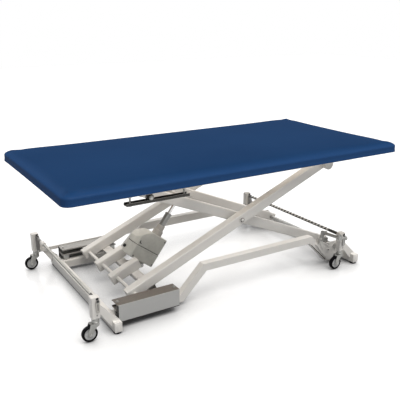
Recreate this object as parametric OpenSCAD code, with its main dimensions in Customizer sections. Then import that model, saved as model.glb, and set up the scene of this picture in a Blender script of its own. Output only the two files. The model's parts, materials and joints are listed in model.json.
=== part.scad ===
// Height-adjustable treatment table on a scissor frame with lifting castors.
// Frame: +X along the length, +Y to the far side, +Z up, origin on the floor
// under the middle of the mattress. The near side is -Y. All sizes in millimetres.

/* [Mattress] */
// Length of the mattress
mattress_l = 2000; // [1800:10:2200]
// Width of the mattress
mattress_w = 1000; // [960:10:1200]
// Thickness of the mattress at its edge
mattress_t = 42; // [36:1:70]
// Rise of the mattress from its edge to its middle
mattress_crown = 6; // [1:1:12]
// Radius of the mattress corners in plan
mattress_corner_r = 48; // [20:1:90]
// Radius that rolls the top edge of the mattress
mattress_roll_r = 28; // [12:1:30]
// How far the long sides draw in between the corners
mattress_draw = 4; // [0:1:10]
// Thickness of the board under the padding
board_t = 12; // [9:1:18]
// Margin of padding around the board
board_margin = 36; // [20:1:60]

/* [Lift] */
// Angle of the scissor arms above the floor
lift_angle = 22.5; // [16:0.5:28]
// Length of each arm below its centre pivot
arm_low = 700; // [660:5:730]
// Length of each arm above its centre pivot
arm_up = 625; // [580:5:660]
// Height of the fixed base pivot above the floor
base_pivot_z = 105; // [103:1:112]

/* [Arm tubes] */
// Height of an arm tube
arm_h = 55; // [45:1:60]
// Width of an outer arm tube
outer_arm_w = 50; // [40:1:50]
// Width of an inner arm tube
inner_arm_w = 40; // [30:1:50]
// Distance from the middle of the table to the inner face of an outer arm
outer_arm_y = 275; // [270:1:280]
// Distance from the middle of the table to the inner face of an inner arm
inner_arm_y = 225; // [210:1:225]
// How far an arm runs past its end pivots
arm_overrun = 32; // [24:1:36]
// Wall of the steel tubes
tube_wall = 3; // [2:0.5:4]
// Corner radius of the arm tubes
arm_corner_r = 6; // [4:1:10]

/* [Pivots and rollers] */
// Radius of the base pivot shaft
base_shaft_r = 12; // [9:0.5:14]
// Radius of the track roller shaft
track_shaft_r = 10; // [7:0.5:10]
// Radius of the guide roller shaft
guide_shaft_r = 9; // [6:0.5:10]
// Radius of the scissor and top pivot pins
pin_r = 10; // [8:0.5:12]
// Radius of the track rollers in the base
track_roller_r = 14.7; // [13:0.1:16]
// Radius of the guide rollers under the top
guide_roller_r = 17.5; // [14:0.5:20]
// Width of a roller
roller_w = 22; // [16:1:24]
// Radial gap of a running shaft
running_gap = 0.06; // [0.02:0.01:0.1]

/* [Base] */
// Distance of the left foot beam from the middle
left_beam_x = 776; // [766:1:800]
// Distance of the right foot beam from the middle, which carries the base pivots with it
right_beam_x = 763; // [755:1:770]
// Width of a foot beam
beam_w = 38; // [30:1:44]
// Height of a foot beam
beam_h = 50; // [40:1:50]
// Half length of a foot beam
beam_half_l = 475; // [470:1:500]
// Height of a rubber pad
pad_h = 10; // [6:1:20]
// Radius of a rubber pad
pad_r = 19; // [14:1:19]
// Side of the square side rail tube
rail_s = 40; // [30:1:40]
// Distance from the middle to the outer face of a side rail
rail_y = 380; // [376:1:384]
// Height of the axis of the low ends of a side rail
rail_low_z = 38; // [34:1:38]
// Height of the axis of the raised middle of a side rail
rail_high_z = 177; // [150:1:185]
// Start of the raised middle at its left end
rail_high_left = -241; // [-300:1:-200]
// Length of the rail's right slope and foot, from its raised middle to the base pivot
rail_pivot_gap = 188; // [180:1:210]
// Distance of the base pivot inside the right foot beam
beam_pivot_gap = 91; // [84:1:100]

/* [Roller channels] */
// Left end of a roller channel
channel_x0 = -757; // [-758:1:-745]
// Right end of a roller channel
channel_x1 = -424; // [-440:1:-420]
// Outer face of a roller channel
channel_y = 430; // [426:1:431]
// Depth of a roller channel
channel_d = 72; // [66:1:74]
// Wall of a roller channel
channel_wall = 3; // [2:0.5:4]
// Bottom of the sheet that guards the channel
guard_z = 35; // [25:1:60]

/* [Castors] */
// Distance of the left castors from their foot beam
castor_offset_left = 107; // [100:1:112]
// Distance of the right castors from their foot beam
castor_offset_right = 127; // [116:1:132]
// Distance of the castors from the middle
castor_y = 462; // [460:1:470]
// Radius of a castor wheel
wheel_r = 38; // [32:0.5:38]
// Width of a castor wheel
wheel_w = 24; // [18:1:26]
// Trail of a castor wheel behind its stem
wheel_trail = 31; // [28:1:34]
// Clearance under the raised wheels
wheel_lift = 2; // [1:0.5:5]
// Bottom of a castor housing
block_z0 = 115; // [112:1:122]
// Top of a castor housing
block_z1 = 220; // [215:1:228]
// Width of a castor housing along the table
block_l = 40; // [38:1:44]
// Width of a castor housing across the table
block_w = 36; // [33:1:36]
// Radius of a castor stem
stem_r = 10; // [7:0.5:11]

/* [Cam shafts] */
// Height of a cam shaft above the floor
cam_z = 202; // [200:1:206]
// Distance of a cam shaft from the castor stems
cam_offset = 8; // [6:0.5:9]
// Radius of a cam shaft
cam_r = 6; // [5:0.5:7]
// Reach of a cam finger
cam_reach = 22; // [20:1:23]
// Radius of the foot sleeve on the left shaft
foot_sleeve_r = 8.5; // [7.5:0.5:12]
// Radius of the spiral sleeve on the right shaft
spiral_sleeve_r = 8.4; // [7.2:0.1:9]
// Length of the cranks that pull the link bar
crank_l = 84; // [70:1:88]
// Reach of the foot sleeve to the near side
foot_sleeve_near = 400; // [300:10:410]
// Reach of the foot sleeve to the far side
foot_sleeve_far = 300; // [250:10:410]
// Reach of the spiral sleeve to the near side
spiral_near = 420; // [300:5:420]
// Reach of the spiral sleeve to the far side
spiral_far = 415; // [300:5:415]

/* [Lift motor] */
// Angle of the lift motor above the floor
motor_angle = 53; // [50:0.5:56]
// Place of the motor mount along the outer arms
mount_u = -534; // [-540:1:-528]
// Distance of the motor mount below the middle of the outer arms
mount_v = 71; // [68:1:74]
// Distance from the mount to the housing's foot along the spindle
mount_s = 17; // [16:1:22]
// Height of the lower housing along the spindle
housing_h = 75; // [60:1:84]
// Height of the upper housing along the spindle
cover_h = 95; // [80:1:104]
// Half width of the housing across the table
housing_y = 50; // [44:1:60]
// Reach of the housing above the spindle
housing_up = 125; // [110:1:130]
// Reach of the housing below the spindle
housing_down = 60; // [50:1:62]
// Inner face of the forks beside the motor
fork_y = 72; // [66:1:80]
// Radius of the outer spindle tube
tube_r = 19; // [16:0.5:20]
// Length of the outer spindle tube beyond the housing
tube_l = 139; // [130:1:141]
// Radius of the chrome rod
rod_r = 10.5; // [8:0.5:11]
// Distance from the housing's top to the eye of the rod
eye_s = 256; // [252:1:260]
// Radius of the rod's eye
eye_r = 15; // [12:0.5:16]

/* [Top frame] */
// Reach of the top frame past the left end of the roller guides
frame_past_guide = 139; // [100:1:150]
// Reach of the top frame past the top pivots
frame_past_pivot = 144; // [130:1:170]
// Distance from the middle to the outer face of a frame rail
top_y = 403; // [401:1:410]
// Side of the square frame tubes
top_s = 40; // [30:1:40]
// Length of a roller guide to the left of the roller at rest
guide_left = 125; // [110:1:140]
// Length of a roller guide to the right of the roller at rest
guide_right = 209; // [190:1:230]

/* [Release pedal] */
// Distance of the pedal pivot before the base pivot
pedal_gap = 127; // [120:1:137]
// Height of the pedal pivot
pedal_z = 178; // [170:1:184]
// Radius of the pedal rod
pedal_rod_r = 9; // [6:0.5:9.5]

/* [Hidden] */
$fn = 48;
side_gap = 0.3;
seam = 0.02;

CREAM = [0.87, 0.85, 0.81];
GREY = [0.64, 0.645, 0.63];
DARK = [0.30, 0.30, 0.29];
STEEL = [0.75, 0.76, 0.77];
BLACK = [0.05, 0.05, 0.05];
BLUE = [0.11, 0.25, 0.45];

// Where the scissor stands and crosses, and the heights that follow from it
base_pivot_x = right_beam_x - beam_pivot_gap;
rail_high_right = base_pivot_x - rail_pivot_gap;
pedal_x = base_pivot_x - pedal_gap;
centre_x = base_pivot_x - arm_low * cos(lift_angle);
centre_z = base_pivot_z + arm_low * sin(lift_angle);
top_pivot_z = centre_z + arm_up * sin(lift_angle);
track_x = centre_x - arm_low * cos(lift_angle);
guide_x = centre_x - arm_up * cos(lift_angle);
top_pivot_x = centre_x + arm_up * cos(lift_angle);
guide_x0 = guide_x - guide_left;
guide_x1 = guide_x + guide_right;
top_x0 = guide_x0 - frame_past_guide;
top_x1 = top_pivot_x + frame_past_pivot;
frame_z0 = top_pivot_z + guide_roller_r + 0.4;
frame_z1 = frame_z0 + top_s;
inner_face = inner_arm_y + inner_arm_w;
outer_face = outer_arm_y + outer_arm_w;
beam_z1 = pad_h + beam_h;
rail_half = rail_s / 2;
rail_in = rail_y - rail_s;
channel_clear = 0.3;
channel_h = 2 * (track_roller_r + channel_clear + channel_wall);
channel_in = channel_y - channel_d;
roller_y = channel_y - channel_wall - 37;
guide_y = top_y - top_s / 2;
guide_wall = 3.5;
guide_half = roller_w / 2 + 3;
block_in = castor_y - block_w / 2;
block_out = castor_y + block_w / 2;
left_castor_x = -left_beam_x - castor_offset_left;
right_castor_x = right_beam_x - castor_offset_right;
wheel_z = wheel_r + wheel_lift;
end_plate = 3;
mount_x = centre_x + mount_u * cos(lift_angle) + mount_v * sin(lift_angle);
mount_z = centre_z + mount_u * sin(lift_angle) - mount_v * cos(lift_angle);

// Where the rod's eye lies in the frame of the inner arms
eye_dx = mount_x + (mount_s + housing_h + cover_h + eye_s) * cos(motor_angle) - centre_x;
eye_dz = mount_z + (mount_s + housing_h + cover_h + eye_s) * sin(motor_angle) - centre_z;
eye_x = eye_dx * cos(lift_angle) - eye_dz * sin(lift_angle);
eye_z = eye_dx * sin(lift_angle) + eye_dz * cos(lift_angle);

// Outlines

// Points of an arc about a centre, from one angle through a sweep
function arc(cx, cy, r, a0, sweep, n) =
    [for (i = [0:n]) [cx + r * cos(a0 + sweep * i / n), cy + r * sin(a0 + sweep * i / n)]];

// Rectangle with round corners, centred
function round_rect(w, h, r, n = 4) = concat(
    arc(w / 2 - r, h / 2 - r, r, 0, 90, n), arc(r - w / 2, h / 2 - r, r, 90, 90, n),
    arc(r - w / 2, r - h / 2, r, 180, 90, n), arc(w / 2 - r, r - h / 2, r, 270, 90, n));

// Outline round two circles, joined by their common tangents
function link_outline(x0, z0, r0, x1, z1, r1, n = 10) =
    let (a = atan2(z1 - z0, x1 - x0), d = norm([x1 - x0, z1 - z0]), t = acos((r0 - r1) / d))
    concat(arc(x0, z0, r0, a + t, 360 - 2 * t, n), arc(x1, z1, r1, a - t, 2 * t, n));

// Line of a side rail, offset by h to one side of its axis
function rail_line(h) =
    let (rise = rail_high_z - rail_low_z, m = h * tan(22.5))
    [[-left_beam_x + beam_w / 2, rail_low_z + h],
     [rail_high_left - rise - m, rail_low_z + h],
     [rail_high_left - m, rail_high_z + h],
     [rail_high_right + m, rail_high_z + h],
     [rail_high_right + rise + m, rail_low_z + h],
     [right_beam_x - beam_w / 2, rail_low_z + h]];

function reversed(list) = [for (i = [len(list) - 1:-1:0]) list[i]];
function rail_band(h) = concat(rail_line(h), reversed(rail_line(-h)));

// Shapes that repeat

module tube_section(w, h, r, wall = tube_wall) {
    difference() {
        polygon(round_rect(w, h, r));
        polygon(round_rect(w - 2 * wall, h - 2 * wall, max(r - wall, 0.5)));
    }
}

// Tube along X from x0 to x1, centred on Y and Z
module tube_x(x0, x1, w, h, r) {
    translate([x0, 0, 0]) rotate([90, 0, 90]) linear_extrude(x1 - x0) tube_section(w, h, r);
}

// Tube along Y from y0 to y1, centred on X and Z
module tube_y(y0, y1, w, h, r) {
    translate([0, y1, 0]) rotate([90, 0, 0]) linear_extrude(y1 - y0) tube_section(w, h, r);
}

// Plate of an outline in the XZ plane, from y0 to y1
module plate_y(y0, y1, outline) {
    translate([0, y1, 0]) rotate([90, 0, 0]) linear_extrude(y1 - y0) polygon(outline);
}

// Round bar along Y from y0 to y1
module bar_y(r, y0, y1) {
    translate([0, y1, 0]) rotate([90, 0, 0]) cylinder(r = r, h = y1 - y0);
}

// Round bar from one point to another
module rod_between(a, b, r) {
    d = b - a;
    translate(a) rotate([0, acos(d[2] / norm(d)), atan2(d[1], d[0])]) cylinder(r = r, h = norm(d));
}

// Box between two corners
module box(low, high) {
    translate(low) cube(high - low);
}

// Children again on the other side of the middle plane
module both_sides() {
    children();
    mirror([0, 1, 0]) children();
}

module far_side(far) {
    if (far) children();
    else mirror([0, 1, 0]) children();
}

// Frames of the scissor: X runs along the arm, away from the lower left
module on_outer() {
    translate([centre_x, 0, centre_z]) rotate([0, -lift_angle, 0]) children();
}

// X runs along the arm, away from the upper left
module on_inner() {
    translate([centre_x, 0, centre_z]) rotate([0, lift_angle, 0]) children();
}

// Frame of the lift motor: X along the spindle from the housing's foot, Z away from it
module on_motor() {
    translate([mount_x, 0, mount_z]) rotate([0, -motor_angle, 0])
        translate([mount_s, 0, 0]) children();
}

// Base

module foot_beam(x) {
    cap = 4;
    color(CREAM) translate([x, 0, pad_h + beam_h / 2])
        tube_y(cap - beam_half_l, beam_half_l - cap, beam_w, beam_h, 3);
}

module left_foot_beam() { foot_beam(-left_beam_x); }
module right_foot_beam() { foot_beam(right_beam_x); }

// A cap on each end of the foot beams, and one on each castor housing
module base_end_caps() {
    cap = 4;
    plug = 12;
    fit = tube_wall + 0.2;
    color(GREY) both_sides() {
        for (x = [-left_beam_x, right_beam_x]) translate([x, 0, pad_h + beam_h / 2]) {
            translate([0, beam_half_l, 0]) rotate([90, 0, 0]) linear_extrude(cap)
                polygon(round_rect(beam_w, beam_h, 3));
            translate([0, beam_half_l - cap, 0]) rotate([90, 0, 0]) linear_extrude(plug)
                polygon(round_rect(beam_w - 2 * fit, beam_h - 2 * fit, 2));
        }
        for (x = [left_castor_x, right_castor_x]) translate([x, castor_y, block_z1 - 3])
            linear_extrude(3) polygon(round_rect(block_l, block_w, 5));
    }
}

// Pads under the ends of the foot beams, which carry the table
module foot_pads() {
    color(BLACK) both_sides() for (x = [-left_beam_x, right_beam_x])
        translate([x, beam_half_l - pad_r - 1, 0]) {
            cylinder(r1 = pad_r - 2, r2 = pad_r, h = 3, $fn = 24);
            translate([0, 0, 3]) cylinder(r = pad_r, h = pad_h - 3);
        }
}

module side_rail() {
    color(CREAM) difference() {
        plate_y(rail_in, rail_y, rail_band(rail_half));
        plate_y(rail_in + tube_wall, rail_y - tube_wall, rail_band(rail_half - tube_wall));
    }
}

module near_side_rail() { far_side(false) side_rail(); }
module far_side_rail() { far_side(true) side_rail(); }

// Channel that the track roller runs in, open towards the middle of the table
module roller_channel() {
    h = channel_h / 2;
    lip = 4;
    w = channel_wall;
    color(DARK) translate([channel_x0, 0, base_pivot_z]) rotate([90, 0, 90])
        linear_extrude(channel_x1 - channel_x0) polygon([
            [channel_y, -h], [channel_y, h], [channel_in, h], [channel_in, h - w - lip],
            [channel_in + w, h - w - lip], [channel_in + w, h - w], [channel_y - w, h - w],
            [channel_y - w, w - h], [channel_in + w, w - h], [channel_in + w, w + lip - h],
            [channel_in, w + lip - h], [channel_in, -h]]);
}

module near_roller_channel() { far_side(false) roller_channel(); }
module far_roller_channel() { far_side(true) roller_channel(); }

// Sheet on the outside of each channel, folded in at its lower edge
module channel_guards() {
    sheet = 2;
    fold = 46;
    x0 = channel_x0 + 2;
    x1 = channel_x1 - 2;
    color(GREY) both_sides() {
        box([x0, channel_y, guard_z], [x1, channel_y + sheet, base_pivot_z + channel_h / 2]);
        box([x0, channel_y - fold, guard_z], [x1, channel_y, guard_z + sheet]);
    }
}

// Posts from the side rails up to the channels, and bolts in the channel's top flange
module channel_fixings() {
    post = 30;
    head_r = 7;
    head_h = 5;
    inset = 14;
    color(STEEL) both_sides() {
        for (x = [channel_x0 + 8, channel_x1 - 8 - post])
            box([x, channel_in, rail_low_z + rail_half],
                [x + post, rail_y, base_pivot_z - channel_h / 2]);
        for (x = [channel_x0 + inset, channel_x1 - inset])
            translate([x, channel_y - channel_d / 2, base_pivot_z + channel_h / 2])
                cylinder(r = head_r, h = head_h);
    }
}

// Brackets on the side rails that carry the base pivot shaft, and the pedal's ear and pin
module pivot_brackets() {
    t = 6;
    px = base_pivot_x;
    x0 = px - 34;
    x1 = right_beam_x - beam_w / 2;
    z0 = rail_low_z + rail_half;
    z1 = base_pivot_z + 32;
    inner_y = inner_face + 15;
    slope_x = rail_high_right + rail_high_z;
    color(CREAM) both_sides() difference() {
        union() {
            plate_y(rail_y, rail_y + t, [
                [slope_x - z1 - 6, z1 + 8], [px - 78, z1], [px + 14, z1], [px + 30, z1 - 16],
                [px + 30, rail_low_z - 14], [slope_x - rail_low_z - 6, rail_low_z - 14]]);
            plate_y(inner_y, inner_y + t, [
                [x0, z0], [x0, z1 - 22], [px - 16, z1], [px + 16, z1], [px + 30, z1 - 16],
                [px + 30, z0]]);
            box([x0, inner_y + t, z0], [px + 30, rail_y, z0 + t]);
        }
        translate([px, 0, base_pivot_z]) bar_y(base_shaft_r + running_gap, inner_y - 1, rail_y + t + 1);
    }
    color(CREAM) mirror([0, 1, 0]) {
        plate_y(rail_y + t, rail_y + 2 * t,
            link_outline(pedal_x + 26, z1 - 14, 12, pedal_x, pedal_z, 11));
        translate([pedal_x, 0, pedal_z]) bar_y(4, rail_y + 2 * t, rail_y + 2 * t + 9);
    }
}

// Castor housing on a gusset plate that laps the foot beam, set in on the near side, clear of the link bar
// on the far side
module outrigger(x, beam_x, far) {
    wall = 2.5;
    guide_h = 50;
    reach = beam_x - beam_w / 2 - x;
    sheet = 8;
    lap = 26;
    sheet_y = far ? 1 - block_w / 2 : -5 - block_w / 2;
    outline = [
        [block_l / 2 - 4, block_z0 + 64], [block_l / 2 - 4, block_z0 + 20],
        [reach - 4, beam_z1 - lap], [reach, beam_z1 - lap],
        [reach, beam_z1], [reach + 34, beam_z1]];
    color(CREAM) far_side(far) translate([x, castor_y, 0]) {
        difference() {
            translate([0, 0, block_z0]) linear_extrude(block_z1 - 3 - block_z0)
                polygon(round_rect(block_l, block_w, 4));
            translate([0, 0, block_z0 + guide_h]) linear_extrude(block_z1)
                polygon(round_rect(block_l - 2 * wall, block_w - 2 * wall, 2));
            translate([0, 0, block_z0 - 1]) cylinder(r = stem_r + running_gap, h = guide_h + 2);
            translate([cam_offset, 0, cam_z]) {
                bar_y(cam_r + running_gap, -block_w, block_w);
                box([-4.5, -block_w, 0], [4.5, block_w, 14]);
            }
        }
        plate_y(sheet_y, sheet_y + sheet, outline);
    }
}

module near_left_outrigger() { outrigger(left_castor_x, -left_beam_x, false); }
module far_left_outrigger() { outrigger(left_castor_x, -left_beam_x, true); }
module near_right_outrigger() { outrigger(right_castor_x, right_beam_x, false); }
module far_right_outrigger() { outrigger(right_castor_x, right_beam_x, true); }

// Cam shafts and their link

// Shaft through two castor housings, with cam fingers, end knobs and a crank on the far side
module cam_shaft(x) {
    finger_h = 12;
    finger_w = 12;
    knob_r = 8;
    knob_w = 6;
    end_y = block_out + side_gap;
    crank_y0 = channel_y - 2;
    crank_t = 8;
    color(STEEL) translate([x + cam_offset, 0, cam_z]) {
        bar_y(cam_r, -end_y - knob_w, end_y + knob_w);
        both_sides() {
            box([-cam_reach, castor_y - finger_w / 2, -finger_h / 2],
                [0, castor_y + finger_w / 2, finger_h / 2]);
            bar_y(knob_r, end_y, end_y + knob_w);
        }
        plate_y(crank_y0, crank_y0 + crank_t, link_outline(0, 0, 11, 0, -crank_l, 8));
        translate([0, 0, -crank_l]) bar_y(4, crank_y0 + crank_t, link_y1 + 0.6);
    }
}

link_y0 = channel_y + 7;
link_y1 = castor_y - stem_r - 9;

module left_cam_shaft() { cam_shaft(left_castor_x); }
module right_cam_shaft() { cam_shaft(right_castor_x); }

module sleeve(x, r, y0, y1) {
    color(x < 0 ? GREY : DARK) translate([x + cam_offset, 0, cam_z]) difference() {
        bar_y(r, y0, y1);
        bar_y(cam_r + seam, y0 - 1, y1 + 1);
    }
}

module left_foot_sleeve() {
    sleeve(left_castor_x, foot_sleeve_r, -foot_sleeve_near, foot_sleeve_far);
}
module right_spiral_sleeve() {
    sleeve(right_castor_x, spiral_sleeve_r, -spiral_near, spiral_far);
}

// Flat bar that turns both cam shafts together
module link_bar() {
    h = 14;
    z = cam_z - crank_l;
    x0 = left_castor_x + cam_offset;
    x1 = right_castor_x + cam_offset;
    color(CREAM) difference() {
        plate_y(link_y0, link_y1, link_outline(x0, z, h / 2 + 3, x1, z, h / 2 + 3));
        translate([x0, 0, z]) bar_y(4 + running_gap, link_y0 - 1, link_y1 + 1);
        translate([x1, 0, z]) bar_y(4 + side_gap, link_y0 - 1, link_y1 + 1);
    }
}

// Foot pedal on the near side: a plate on its pin and a bent rod to step on
module release_pedal() {
    y0 = -rail_y - 12;
    plate_t = 5;
    elbow_r = pedal_rod_r + 3;
    grip = 14;
    start = [pedal_x + 30, y0 - (plate_t + side_gap) / 2, pedal_z + 29];
    bend_y = -castor_y - block_w / 2 - pedal_rod_r - 4;
    bend = [right_castor_x - 38, bend_y, pedal_z + 27];
    tip = [right_castor_x + 6, bend_y - 9, pedal_z + 20];
    color(GREY) {
        difference() {
            plate_y(y0 - plate_t, y0 - side_gap, [
                [pedal_x - 10, pedal_z - 10], [pedal_x + 12, pedal_z - 14],
                [pedal_x + 52, pedal_z - 24], [pedal_x + 58, pedal_z - 4],
                [pedal_x + 22, pedal_z + 6], [pedal_x + 26, pedal_z + 19],
                [pedal_x + 45, pedal_z + 19], [pedal_x + 45, pedal_z + 38],
                [pedal_x + 9, pedal_z + 50], [pedal_x, pedal_z + 46]]);
            translate([pedal_x, 0, pedal_z]) bar_y(4 + running_gap, y0 - plate_t - 1, y0 + 1);
        }
        rod_between(start, bend, pedal_rod_r);
        translate(bend - [0, 0, elbow_r]) cylinder(r = elbow_r, h = 2 * elbow_r);
        rod_between(bend, tip, pedal_rod_r);
        rod_between(tip - grip * (tip - bend) / norm(tip - bend), tip, pedal_rod_r + 1.6);
    }
}

// Inner scissor frame

module inner_arm() {
    y = inner_arm_y + inner_arm_w / 2;
    bush = 4;
    ends = [[-arm_up, guide_shaft_r], [0, pin_r], [arm_low, base_shaft_r]];
    color(CREAM) on_inner() difference() {
        union() {
            translate([0, y, 0])
                tube_x(-arm_up - arm_overrun, arm_low + arm_overrun, inner_arm_w, arm_h, arm_corner_r);
            for (x = [-arm_up - arm_overrun, arm_low + arm_overrun - end_plate])
                translate([x, y, 0]) rotate([90, 0, 90]) linear_extrude(end_plate)
                    polygon(round_rect(inner_arm_w, arm_h, arm_corner_r));
            for (e = ends) translate([e[0], 0, 0])
                bar_y(e[1] + bush, inner_arm_y + 1, inner_face - 1);
        }
        for (e = ends) translate([e[0], 0, 0])
            bar_y(e[1] + (e[0] == 0 ? running_gap : seam), inner_arm_y - 1, inner_face + 1);
    }
}

module near_inner_arm() { far_side(false) inner_arm(); }
module far_inner_arm() { far_side(true) inner_arm(); }

// Shaft across the base that the inner frame swings on
module base_pivot_shaft() {
    end_y = rail_y + 6 + side_gap;
    color(STEEL) translate([base_pivot_x, 0, base_pivot_z]) {
        bar_y(base_shaft_r, -end_y, end_y);
        both_sides() bar_y(base_shaft_r + 5, end_y, end_y + 5);
    }
}

// Cross tube between the inner arms, with the two ears that take the rod
module rod_bracket() {
    s = 40;
    tube_x0 = eye_x - 78;
    ear_y = eye_r - 2;
    color(CREAM) on_inner() {
        translate([tube_x0, 0, 0]) tube_y(-inner_arm_y, inner_arm_y, s, s, 4);
        both_sides() {
            plate_y(ear_y, ear_y + 8, [
                [tube_x0 + s / 2, s / 2 - 1], [eye_x - 12, eye_z + 20], [eye_x + 8, eye_z + 20],
                [eye_x + 20, eye_z + 8], [eye_x + 20, eye_z - 10], [eye_x + 8, eye_z - 22],
                [eye_x - 12, eye_z - 22], [tube_x0 + s / 2, 1 - s / 2]]);
            translate([eye_x, 0, eye_z]) bar_y(10, ear_y + 8, ear_y + 14);
        }
    }
}

// Shaft of the guide rollers, which passes over the troughs' low walls to a cap on each end
module guide_roller_shaft() {
    end_y = guide_y + guide_half + guide_wall + 1;
    color(STEEL) on_inner() translate([-arm_up, 0, 0]) {
        bar_y(guide_shaft_r, -end_y, end_y);
        both_sides() bar_y(guide_shaft_r + 2, end_y, end_y + 2);
    }
}

// Outer scissor frame

module outer_arm() {
    y = outer_arm_y + outer_arm_w / 2;
    bush = 4;
    ends = [[-arm_low, track_shaft_r], [0, pin_r], [arm_up, pin_r]];
    color(CREAM) on_outer() difference() {
        union() {
            translate([0, y, 0])
                tube_x(-arm_low - arm_overrun, arm_up, outer_arm_w, arm_h, arm_corner_r);
            translate([-arm_low - arm_overrun, y, 0]) rotate([90, 0, 90]) linear_extrude(end_plate)
                polygon(round_rect(outer_arm_w, arm_h, arm_corner_r));
            translate([arm_up, 0, 0]) bar_y(arm_h / 2, outer_arm_y, outer_face);
            for (e = ends) translate([e[0], 0, 0])
                bar_y(e[1] + bush, outer_arm_y + 1, outer_face - 1);
        }
        for (e = ends) translate([e[0], 0, 0])
            bar_y(e[1] + seam, outer_arm_y - 1, outer_face + 1);
    }
}

module near_outer_arm() { far_side(false) outer_arm(); }
module far_outer_arm() { far_side(true) outer_arm(); }

// Cross tube under the outer arms and the forks, with the ears that carry the motor
module outer_cross_tube() {
    w = 45;
    h = 40;
    x1 = -arm_low + 121;
    half = 300;
    color(CREAM) on_outer() {
        translate([x1 - w / 2, 0, -arm_h / 2 - h / 2]) tube_y(-half, half, w, h, 3);
        both_sides() difference() {
            plate_y(24, 32, link_outline(x1 - 1, -arm_h / 2 - h / 2, 16, mount_u, -mount_v, 14));
            plate_y(23, 33, [[x1 - 30, -90], [x1, -90], [x1, 0], [x1 - 30, 0]]);
            translate([mount_u, 0, -mount_v]) bar_y(8 + seam, 23, 33);
        }
    }
}

module track_roller_shaft() {
    end_y = roller_y + roller_w / 2 + side_gap;
    color(CREAM) on_outer() translate([-arm_low, 0, 0]) {
        bar_y(track_shaft_r, -end_y, end_y);
        both_sides() bar_y(track_shaft_r + 2, end_y, end_y + 3);
    }
}

// Two short tubes between the roller shaft and the cross tube, on either side of the motor
module motor_forks() {
    w = 48;
    x0 = -arm_low - arm_overrun + 2;
    x1 = -arm_low + 142;
    color(CREAM) both_sides() on_outer() difference() {
        union() {
            translate([0, fork_y + w / 2, 0]) tube_x(x0, x1, w, arm_h, arm_corner_r);
            for (x = [x0, x1 - end_plate]) translate([x, fork_y + w / 2, 0]) rotate([90, 0, 90])
                linear_extrude(end_plate) polygon(round_rect(w, arm_h, arm_corner_r));
            translate([-arm_low, 0, 0]) bar_y(track_shaft_r + 4, fork_y + 1, fork_y + w - 1);
        }
        translate([-arm_low, 0, 0]) bar_y(track_shaft_r + seam, fork_y - 1, fork_y + w + 1);
    }
}

// Centre pins through both pairs of arms, and pins from the outer arms into the top
module scissor_pins() {
    head_r = pin_r + 5;
    color(STEEL) both_sides() on_outer() {
        bar_y(pin_r, inner_arm_y - 6, outer_face);
        bar_y(head_r, outer_face, outer_face + 5);
        bar_y(head_r, inner_face + side_gap, outer_arm_y);
        bar_y(head_r, inner_arm_y - 6, inner_arm_y - side_gap);
        translate([arm_up, 0, 0]) {
            bar_y(pin_r, outer_arm_y, top_y - top_s);
            bar_y(head_r, outer_arm_y - 5, outer_arm_y);
        }
    }
}

module motor_mount_pin() {
    y = 32 + side_gap;
    color(STEEL) on_outer() translate([mount_u, 0, -mount_v]) {
        bar_y(8, -y, y);
        both_sides() bar_y(12, y, y + 4);
    }
}

// Rollers

module roller_pair(r, shaft_r, y) {
    both_sides() difference() {
        bar_y(r, y - roller_w / 2, y + roller_w / 2);
        bar_y(shaft_r + running_gap, y - roller_w, y + roller_w);
    }
}

module track_rollers() {
    color(BLACK) on_outer() translate([-arm_low, 0, 0])
        roller_pair(track_roller_r, track_shaft_r, roller_y);
}

module guide_rollers() {
    color(BLACK) on_inner() translate([-arm_up, 0, 0])
        roller_pair(guide_roller_r, guide_shaft_r, guide_y);
}

// Top

module frame_rails() {
    color(CREAM) both_sides() translate([0, top_y - top_s / 2, frame_z0 + top_s / 2]) {
        tube_x(top_x0, top_x1, top_s, top_s, 4);
        for (x = [top_x0 + 1, top_x1 - end_plate - 1]) translate([x, 0, 0])
            rotate([90, 0, 90]) linear_extrude(end_plate)
                polygon(round_rect(top_s - 2 * tube_wall, top_s - 2 * tube_wall, 1));
    }
}

module frame_cross_tubes() {
    span = top_x1 - top_x0;
    places = [top_x0 + 26, top_x0 + 0.362 * span, top_x0 + 0.65 * span, top_x1 - 57];
    color(CREAM) for (x = places)
        translate([x, 0, frame_z0 + top_s / 2])
            tube_y(top_s - top_y, top_y - top_s, top_s, top_s, 4);
}

module mattress_board() {
    color([0.72, 0.58, 0.40]) translate([0, 0, frame_z1]) linear_extrude(board_t)
        polygon(round_rect(mattress_l - 2 * board_margin, mattress_w - 2 * board_margin, 24));
}

// One ring of the mattress, set in from its outline, with the sides drawn in
function draw_in(t) = mattress_draw * 4 * t * (1 - t);
function mattress_ring(inset, z) =
    let (
        hl = mattress_l / 2 - inset, hw = mattress_w / 2 - inset,
        r = max(mattress_corner_r - inset, 6), n = 8, k = 10,
        side = function (s) [for (i = [1:k - 1]) i / k])
    concat(
        [for (p = arc(hl - r, r - hw, r, 270, 90, n)) [p[0], p[1], z]],
        [for (t = side(0)) [hl - draw_in(t), (2 * t - 1) * (hw - r), z]],
        [for (p = arc(hl - r, hw - r, r, 0, 90, n)) [p[0], p[1], z]],
        [for (t = side(0)) [(1 - 2 * t) * (hl - r), hw - draw_in(t), z]],
        [for (p = arc(r - hl, hw - r, r, 90, 90, n)) [p[0], p[1], z]],
        [for (t = side(0)) [draw_in(t) - hl, (1 - 2 * t) * (hw - r), z]],
        [for (p = arc(r - hl, r - hw, r, 180, 90, n)) [p[0], p[1], z]],
        [for (t = side(0)) [(2 * t - 1) * (hl - r), draw_in(t) - hw, z]]);

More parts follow.
